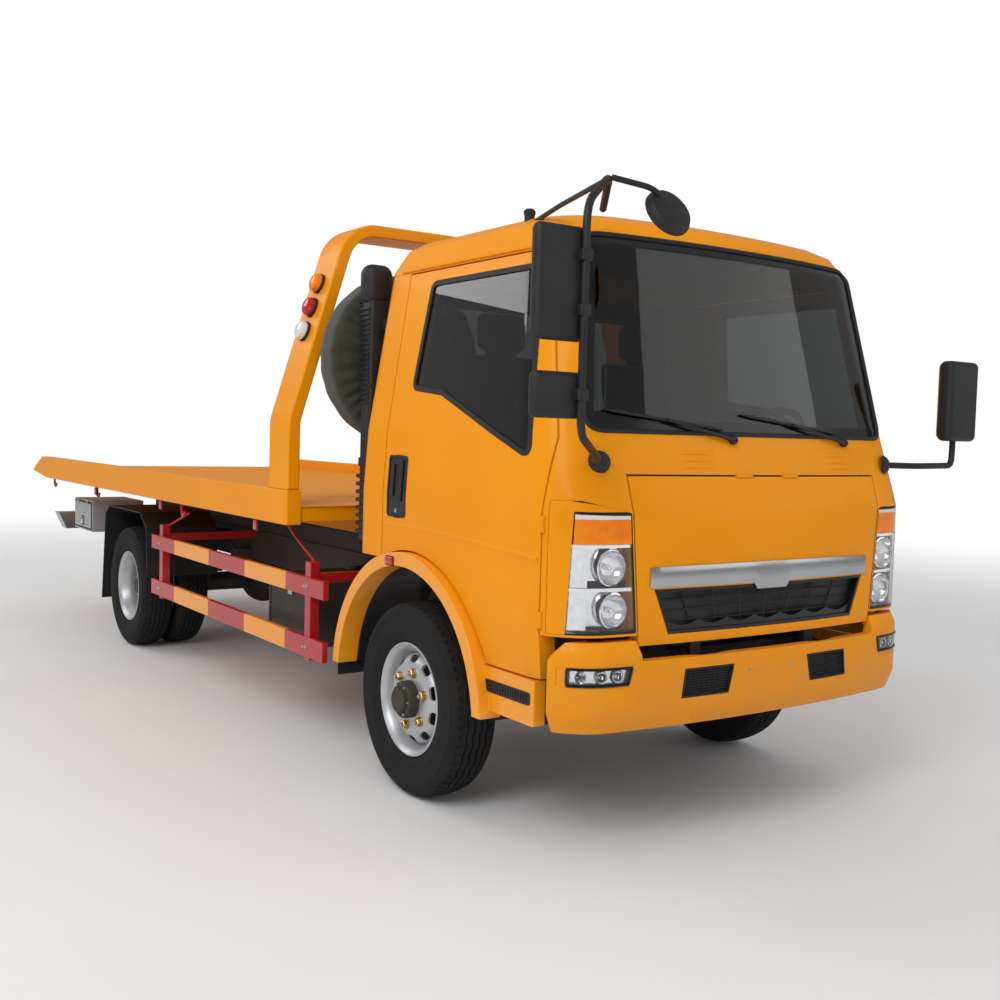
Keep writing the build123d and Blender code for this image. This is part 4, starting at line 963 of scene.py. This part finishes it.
# Housings: rear X, front X, low Y, high Y, low Z, high Z, edge radius
HOUSINGS = (
    (MIRROR_X - 70, MIRROR_X - 24, 7 - MIRROR_Y, 195 - MIRROR_Y, 1725, 2062, 22),
    (MIRROR_X - 66, MIRROR_X - 24, 7 - MIRROR_Y, 195 - MIRROR_Y, 1498, 1636, 20),
    (975, 1045, MIRROR_Y - 195, MIRROR_Y, 1468, 1800, 24),
)
FOOT_Y = 742
FOOT_Z = 1362
piece = Piece("mirrors_look")
for points, bend_r, bar_r, segs in ARMS:
    piece.tube(bent(points, bend_r), bar_r, plastic, segs)
for x0, x1, y0, y1, z0, z1, r in HOUSINGS:
    piece.pad(x0, x1, y0, y1, z0, z1, r, plastic, 6)
    pane = rect(y0 + 12, y1 - 12, z0 + 12, z1 - 12, 20)
    piece.slab(pane, lambda y, z, more: (x0 - more, y, z), -2, 2, mirror_glass)
for z in (1552, 1800, 1960):
    piece.pad(1200, 1234, -1072, -1032, z, z + 36, 6, plastic)
down = about((MIRROR_X - 86, -663, 2165), (0.866, 0, 0.5))
piece.turned([(80, -20), (84, -16), (84, -4), (74, 12), (50, 20), (0.01, 22)], plastic, down, 40)
piece.turned([(80, -20), (76, -17), (40, -14), (0.01, -13)], mirror_glass, down, 40)
for s in (-1, 1):
    foot_at = about((nose_x(FOOT_Y, FOOT_Z, -4), s * FOOT_Y, FOOT_Z), (1, s * 0.75, 0))
    piece.turned([(40, 0), (40, 8), (32, 20), (20, 30), (0.01, 32)], plastic, foot_at, 28)
knob = [(26, -8), (26, 8), (19, 14), (19, 40), (22, 48), (22, 58), (14, 66), (0.01, 68)]
piece.turned(knob, plastic, about_z(430, -690, 2207), 24)
piece.make("cab", "black_plastic", ("mirrors",))

# Flare lamps, step treads and front flaps
piece = Piece("arch_trim")
for s in (-1, 1):
    piece.pad(-118, -54, s * 952, s * 957, 912, 952, 2, plastic)
    piece.pad(-114, -58, s * 953, s * 965, 916, 948, 5, lens_red)
    tread = side_face(s * 912)
    piece.slab(rect(457, 821, 536, 580, 12), tread, -1, 3, plastic)
    for k in range(22):
        x = 470 + 15.5 * k
        piece.slab(rect(x, x + 7, 543, 573, 3), tread, 2.5, 5, plastic)
    piece.pad(-548, -540, s * 700, s * 945, 385, 470, 3, rubber)
    for y in (730, 820, 910):
        piece.turned([(9, -4), (9, 3), (6, 5), (0.01, 5)], steel, about_x(-548, s * y, 452, -1), 12)
piece.make("cab", "black_plastic")

# Air intake: plain duct, ribs, bellows, clamp, domed cap, slots, lower elbow, brackets
piece = Piece("air_intake_look")
piece.pad(-555, -468, -860, -760, 962, 2008, 18, plastic)
for k in range(20):
    z = 1560 + 21 * k
    piece.pad(-561, -476, -866, -754, z, z + 11, 4, plastic)
for k in range(8):
    z = 1002 + 34 * k
    piece.pad(-563, -464, -870, -750, z, z + 18, 8, plastic)
piece.pad(-558, -466, -863, -757, 1290, 1330, 8, plastic)
piece.pad(-563, -462, -880, -745, 1984, 2156, 46, plastic, 8)
for k in range(5):
    z = 2020 + 20 * k
    piece.pad(-566, -540, -860, -766, z, z + 9, 3, gloss_black)
piece.pad(-553, -470, -800, -340, 927, 983, 20, plastic)
for y, z in ((-800, 1500), (-780, 1900)):
    piece.pad(-480, -412, y - 24, y + 24, z - 24, z + 24, 4, frame_black)
piece.make("cab", "black_plastic", ("air_intake",))

# Cab lining behind the glass
MID_Z = 1780
piece = Piece("cab_lining")
wall = refined(rect(-790, 790, 985, 2090, 60), 80)
window = refined(rect(-566, 566, 1554, 2006, 54), 80)
ring = []
for a, b in window:
    turn = atan2(b - MID_Z, a)
    ring.append(min(wall, key=lambda p: abs(atan2(p[1] - MID_Z, p[0]) - turn)))
piece.band(ring, window, lambda y, z, more: (rear_x(z) + 46 + more, y, z), 0, 4, lining)
piece.slab(rect(-300, 640, -560, 560, 60), lambda x, y, more: (x, y, 2204 - more), 0, 6, lining)
piece.make("cab", "black_plastic")
for s, name, letter in SIDES:
    piece = Piece("door_lining_" + name)
    panel = refined(rounded([(-190, 985), (790, 985), (790, 1330), (150, 1560), (-190, 1585)], 30), 60)
    piece.slab(panel, on_side(s), -51, -46, lining)
    rest_y = side_y(250, 1250)
    piece.pad(80, 420, s * (rest_y - 78), s * (rest_y - 48), 1215, 1262, 12, plastic)
    piece.make("door_" + letter, "black_plastic")

# Side guard fixings and braces
POSTS_X = (-800, -2850)
piece = Piece("guard_fixings")
for s in (-1, 1):
    for x in POSTS_X:
        for z in (466, 740):
            for dx in (-13, 13):
                nut(piece, x + dx, s * 985, z, s, 8, 7, steel)
    front = [(-800, s * 944, 842), (-834, s * 930, 850), (-1100, s * 905, 940), (-1190, s * 900, 985)]
    rear = [(-2850, s * 944, 842), (-2816, s * 930, 850), (-2560, s * 905, 940)]
    for brace in (front, rear):
        piece.tube(brace, 7, red, 10)
piece.make("chassis", "guard_paint")

# Toolbox doors and latches, tank straps
BOX_Y = 930
piece = Piece("box_fittings")
for s in (-1, 1):
    face = side_face(s * BOX_Y)
    door = rect(-5008, -4552, 670, 866, 10)
    piece.band(door, shrunk(door, 7), face, -1, 2.5, seal)
    piece.slab(shrunk(door, 9), face, -1, 4, grey)
    for x in (-4900, -4660):
        piece.slab(rect(x - 24, x + 24, 846, 884, 5), face, 2, 6, steel)
        piece.tube([(x - 22, s * (BOX_Y + 5), 866), (x + 22, s * (BOX_Y + 5), 866)], 6, steel, 10)
    piece.slab(rect(-4815, -4745, 690, 760, 8), face, 3, 7, plastic)
    piece.slab(rect(-4806, -4754, 702, 730, 10), face, 6, 13, chrome)
    piece.turned([(8, 6), (8, 11), (0.01, 11)], steel, about_y(-4780, s * BOX_Y, 746, s), 16)
strap = rect(432, 862, 370, 702, 46)
for x in (-1180, -1620):
    piece.band(shrunk(strap, -3), strap, lambda y, z, more: (x + more, y, z), -22, 22, steel)
piece.turned([(44, 0), (44, 18), (40, 26), (0.01, 27)], gloss_black, about_z(-1150, 720, 722), 28)
locker = side_face(-860)
piece.band(rect(-1480, -980, 440, 700, 12), rect(-1472, -988, 448, 692, 10), locker, -1, 2, seal)
piece.slab(rect(-1255, -1205, 640, 672, 6), locker, 0, 8, steel)
piece.make("chassis", "grey_box")

# Gantry lamps and bed markers
LEG_Y = 1043
KNEE_Z = 1480
GANTRY_TOP = 2386
GANTRY_X = -925
GANTRY_HALF = 28
piece = Piece("bed_lamps_look")
for s in (-1, 1):
    lean = Vector((0, s * (775 - LEG_Y), GANTRY_TOP - GANTRY_HALF - KNEE_Z)).normalized()
    out = Vector((0, s * lean[2], s * -lean[1]))
    for drop, paint in ((281, amber), (391, lens_red), (501, lens_white)):
        rise = (GANTRY_TOP - drop - KNEE_Z - out[2] * GANTRY_HALF) / lean[2]
        base = Vector((GANTRY_X, s * LEG_Y, KNEE_Z)) + lean * rise + out * GANTRY_HALF
        at = about(base, out)
        piece.turned([(46, 0.3), (46, 12), (42, 15), (41, 10)], plastic, at, 40)
        piece.turned([(42, 8), (42, 24), (38, 36), (28, 42), (0.01, 44)], paint, at, 40)
    for x in (-1227, -2630, -4000):
        piece.pad(x - 24, x + 24, s * 1041, s * 1049, 955, 1014, 3, plastic)
        piece.pad(x - 20, x + 20, s * 1047, s * 1057, 960, 1008, 4, lens_red)
piece.make("bed", "lamp_plastic", ("bed_lamps",))

# Hooks under the bed sides, deck lugs
HOOK_Y = 1040
piece = Piece("bed_hooks")
for s in (-1, 1):
    for x, z in ((-5180, 985), (-4004, 978), (-2300, 978)):
        hook = ((x, 1020), (x, z), (x + 8, z - 26), (x + 40, z - 30), (x + 52, z - 4))
        piece.tube(bent([(a, s * HOOK_Y, b) for a, b in hook], 16), 8, red, 10)
piece.make("bed", "guard_paint")
LUG_PITCH = 42
LUG_FOOT = 1102
LUG_TOP = 1104.2
piece = Piece("deck_lugs")
for i in range(108):
    for j in range(47):
        x = -5420 + LUG_PITCH * i
        y = -966 + LUG_PITCH * j
        if x > -860 or (x > -1400 and abs(y) < 330):
            continue
        along = (i + j) % 2
        long, wide = (13, 4) if along else (4, 13)
        ring = [(x - long, y), (x, y - wide), (x + long, y), (x, y + wide)]
        if along:
            crest = [(x - long * 0.45, y), (x + long * 0.45, y)]
            sides = [(0, 1, 4), (1, 5, 4), (1, 2, 5), (2, 3, 5), (3, 4, 5), (3, 0, 4)]
        else:
            crest = [(x, y - wide * 0.45), (x, y + wide * 0.45)]
            sides = [(0, 1, 4), (1, 2, 4), (2, 5, 4), (2, 3, 5), (3, 0, 5), (0, 4, 5)]
        points = [(a, b, LUG_FOOT) for a, b in ring] + [(a, b, LUG_TOP) for a, b in crest]
        piece.add(points, sides, yellow)
piece.make("bed", "body_yellow", smooth=60)

# Winch drum with its wound rope, and fixings
WINCH_X = -1245
WINCH_Z = 1232
ROPE_PITCH = 16.4
TURN_STEPS = 28
piece = Piece("winch_drum_look")
barrel = [(24, -222), (24, -186), (108, -184), (112, -181), (112, -177), (108, -174), (62, -172)]
barrel += [(r, -y) for r, y in reversed(barrel[2:])] + [(24, 186), (0.01, 186)]
piece.turned([(0.01, -222)] + barrel, cast, about_y(WINCH_X, 0, WINCH_Z), 56)
for layer, turns, start in ((70, 20, -162), (84, 13, -154)):
    coil = []
    for k in range(turns * TURN_STEPS + 1):
        a = 2 * pi * k / TURN_STEPS
        y = start + ROPE_PITCH * k / TURN_STEPS
        coil.append((WINCH_X + layer * cos(a), y, WINCH_Z + layer * sin(a)))
    piece.tube(coil, 8, rope, 7)
piece.make("drum", "cast", ("winch_drum",))
piece = Piece("winch_fixings")
for dx in (-112, 112):
    for y in (-270, -120, 120, 270):
        piece.turned([(13, 0), (13, 9), (10, 12), (0.01, 12)], steel, about_z(WINCH_X + dx, y, 1116), 6)
for s in (-1, 1):
    piece.tube([(WINCH_X - 96, s * 196, 1330), (WINCH_X - 96, s * 30, 1330)], 9, steel, 10)
    cap_at = about_y(WINCH_X, s * 214, WINCH_Z, s)
    piece.turned([(36, 0), (36, 8), (30, 11), (0.01, 11)], cast, cap_at, 28)
piece.make("bed", "frame_black")

# Cushions and the spare wheel's cover, swollen as cloth
CLOTH_FRAMES = 20


def puffed(piece, voxel, pressure, most):
    """A closed shape remeshed and, in a full run, swollen as cloth; no point moves further than most."""
    mesh = piece.mesh()
    mended(mesh, 0.0001)
    obj = shown(piece.name, mesh)
    scene = bpy.context.scene

    def applied():
        done = evaluated(obj)
        obj.modifiers.clear()
        obj.data = done
    even = obj.modifiers.new("even", "REMESH")
    even.mode = "VOXEL"
    even.voxel_size = voxel / 1000
    applied()
    start = [v.co.copy() for v in obj.data.vertices]
    soft = obj.modifiers.new("soft", "CLOTH")
    soft.settings.use_pressure = True
    soft.settings.uniform_pressure_force = pressure
    soft.settings.effector_weights.gravity = 0
    soft.point_cache.frame_start = 1
    soft.point_cache.frame_end = CLOTH_FRAMES
    for f in range(1, CLOTH_FRAMES + 1):
        scene.frame_set(f)
    applied()
    scene.frame_set(1)
    for v, was in zip(obj.data.vertices, start):
        moved = v.co - was
        if moved.length > most / 1000:
            v.co = was + moved.normalized() * most / 1000
    fine = obj.modifiers.new("fine", "SUBSURF")
    fine.levels = 1
    applied()
    mesh = obj.data
    bpy.data.objects.remove(obj)
    return mesh


# Seats: low Y, high Y and the number of cushions that the seams divide them into
SEATS = ((-760, 60, 4), (180, 690, 3))
BACK_FOOT = 1212
BACK_LEAN = 0.176
SEAM_DEEP = 0.007
SEAM_WIDE = 9
soft = Piece("seats_look")
base = Piece("seat_bases")
seams = []
for y0, y1, count in SEATS:
    soft.pad(-16, 322, y0 + 8, y1 - 8, 1188, 1302, 42, seat_cloth, 5)
    first = len(soft.verts)
    soft.pad(-161, -61, y0 + 8, y1 - 8, BACK_FOOT, 1792, 40, seat_cloth, 5)
    soft.verts[first:] = [(x - (z - BACK_FOOT) * BACK_LEAN, y, z) for x, y, z in soft.verts[first:]]
    mid = (y0 + y1) / 2
    soft.pad(-256, -186, mid - 122, mid + 122, 1815, 1978, 30, seat_cloth, 5)
    base.pad(-140, 300, y0 + 42, y1 - 42, 966, 1178, 16, plastic)
    for dy in (-60, 60):
        base.tube([(-222, mid + dy, 1780), (-222, mid + dy, 1830)], 6, chrome, 10)
    seams += spread(y0, y1, count)[1:-1]
base.make("cab", "black_plastic")
mesh = puffed(soft, 14, 4, 14)
normals = [v.normal.copy() for v in mesh.vertices]
for v, n in zip(mesh.vertices, normals):
    if abs(n[1]) < 0.6:
        near = min(abs(v.co[1] * 1000 - c) for c in seams)
        v.co -= n * SEAM_DEEP * 2.718 ** -((near / SEAM_WIDE) ** 2)
mesh.materials.append(seat_cloth)
seat = settle(mesh, "seats_look", "cab", ("seats",), smooth=80)

SPARE = Vector((-672, -590, 1765))
HEM_R = 236
# Distance in front of the spare wheel's middle from which the cover is gathered to its hem
FACE_X = 20
cover = Piece("spare_cover")
profile = [(0.01, -92), (340, -92), (368, -84), (382, -66), (386, -40)]
profile += [(386, 40), (382, 60), (366, 76), (300, 80), (0.01, 80)]
cover.turned(profile, cloth, about_x(*SPARE), 96)
mesh = puffed(cover, 11, 3, 8)


def from_spare(point):
    """A point of the mesh in millimetres from the spare wheel's middle."""
    return point[0] * 1000 - AXLE_X - SPARE[0], point[1] * 1000 - SPARE[1], point[2] * 1000 - SPARE[2]


def ramp(value, length):
    """0 to 1 over a length, level outside it."""
    return min(max(value / length, 0), 1)


for v in mesh.vertices:
    x, y, z = from_spare(v.co)
    r = sqrt(y * y + z * z)
    turn = atan2(z, y)
    if x > FACE_X:
        pull = ramp(392 - r, 60) * ramp(r - HEM_R + 12, 40)
        v.co[0] += pull * (5.5 * sin(34 * turn + 2.2 * sin(5 * turn)) - 3) / 1000
        if r < HEM_R:
            v.co[0] -= 0.034 * min(1, (HEM_R - r) / 14)
    ripple = 1.6 * sin(21 * turn + 1.4 * sin(4 * turn)) * ramp(r - 330, 40)
    v.co[1] += ripple * y / max(r, 1) / 1000
    v.co[2] += ripple * z / max(r, 1) / 1000
mesh.materials.append(cloth)
mesh.materials.append(rubber)
for p in mesh.polygons:
    x, y, z = from_spare(p.center)
    p.material_index = 1 if x > FACE_X and y * y + z * z < (HEM_R - 12) ** 2 else 0
spare = settle(mesh, "spare_cover", "chassis", ("spare_wheel",), smooth=80)

# Stage and camera
camera_data = bpy.data.cameras.new("camera")
camera = shown("camera", camera_data)
right = Vector((0.56660, 0.82353, 0.02743))
up = Vector((-0.06390, 0.01073, 0.99790))
back = Vector((0.82151, -0.56716, 0.05871))
place = Matrix((right, up, back)).transposed().to_4x4()
place.translation = Vector((6.09695, -3.15184, 1.44966))
camera.matrix_world = place
camera_data.lens = 40.85
camera_data.sensor_width = 36
camera_data.clip_end = 100
camera_data.dof.use_dof = False
bpy.context.scene.camera = camera

# Brightness of the sky as a light, its share in mirrored rays, and where the floor turns white (metres)
SKY = 0.64
MIRRORED = 0.55
FADE_FROM = 4.6
FADE_TO = 13.0
WHITE = (1, 1, 1, 1)


def seen_directly(tree):
    """1 for rays from the camera and through glass, 0 for the rays that light the part."""
    camera_ray = added(tree, "LightPath", {}, "Is Camera Ray")
    through_ray = camera_ray.node.outputs["Is Transmission Ray"]
    return added(tree, "Math", {0: camera_ray, 1: through_ray}, operation="MAXIMUM")


# The floor turns to plain white far away, as the background is
floor_mesh = bpy.data.meshes.new("floor")
floor_mesh.from_pydata([(-60, -60, 0), (60, -60, 0), (60, 60, 0), (-60, 60, 0)], [], [(0, 1, 2, 3)])
ground = finish_of("floor_pale", (0.80, 0.80, 0.80), (0.83, 0.83, 0.83), (0.6, 0.75), scale=1.2)
tree = ground.node_tree
where = added(tree, "TexCoord", {}, "Object")
far = added(tree, "VectorMath", {0: where}, "Value", operation="LENGTH")
fade = added(tree, "MapRange", {"Value": far, "From Min": FADE_FROM, "From Max": FADE_TO},
             interpolation_type="SMOOTHSTEP")
share = added(tree, "Math", {0: fade, 1: seen_directly(tree)}, operation="MULTIPLY")
glow = added(tree, "Emission", {"Color": WHITE})
blend = added(tree, "MixShader", {"Fac": share, 1: tree.nodes["Principled BSDF"].outputs["BSDF"], 2: glow})
fill(tree, tree.nodes["Material Output"], {"Surface": blend})
floor_mesh.materials.append(ground)
floor = shown("floor", floor_mesh)

world = bpy.data.worlds.new("studio")
world.use_nodes = True
tree = world.node_tree
span = added(tree, "MapRange", {"Value": seen_directly(tree), "To Min": SKY, "To Max": 1.0})
glossy_ray = added(tree, "LightPath", {}, "Is Glossy Ray")
dim = added(tree, "MapRange", {"Value": glossy_ray, "To Min": 1.0, "To Max": MIRRORED})
level = added(tree, "Math", {0: span, 1: dim}, operation="MULTIPLY")
fill(tree, tree.nodes["Background"], {"Color": WHITE, "Strength": level})
bpy.context.scene.world = world


def soft_light(name, at, aim, size, power):
    data = bpy.data.lights.new(name, "AREA")
    data.shape = "RECTANGLE"
    data.size = size[0]
    data.size_y = size[1]
    data.energy = power
    lamp = shown(name, data)
    lamp.location = at
    lamp.rotation_euler = (Vector(aim) - Vector(at)).to_track_quat("-Z", "Y").to_euler()


soft_light("key", (6.5, -7.5, 7.5), (0.5, 0, 1), (5, 5), 465)
soft_light("fill", (8, 5, 4), (2, 0, 1), (4, 4), 48)
soft_light("rim", (-6, -5, 6), (-1, 0, 1), (5, 3), 140)
bpy.context.scene.view_settings.view_transform = "Standard"
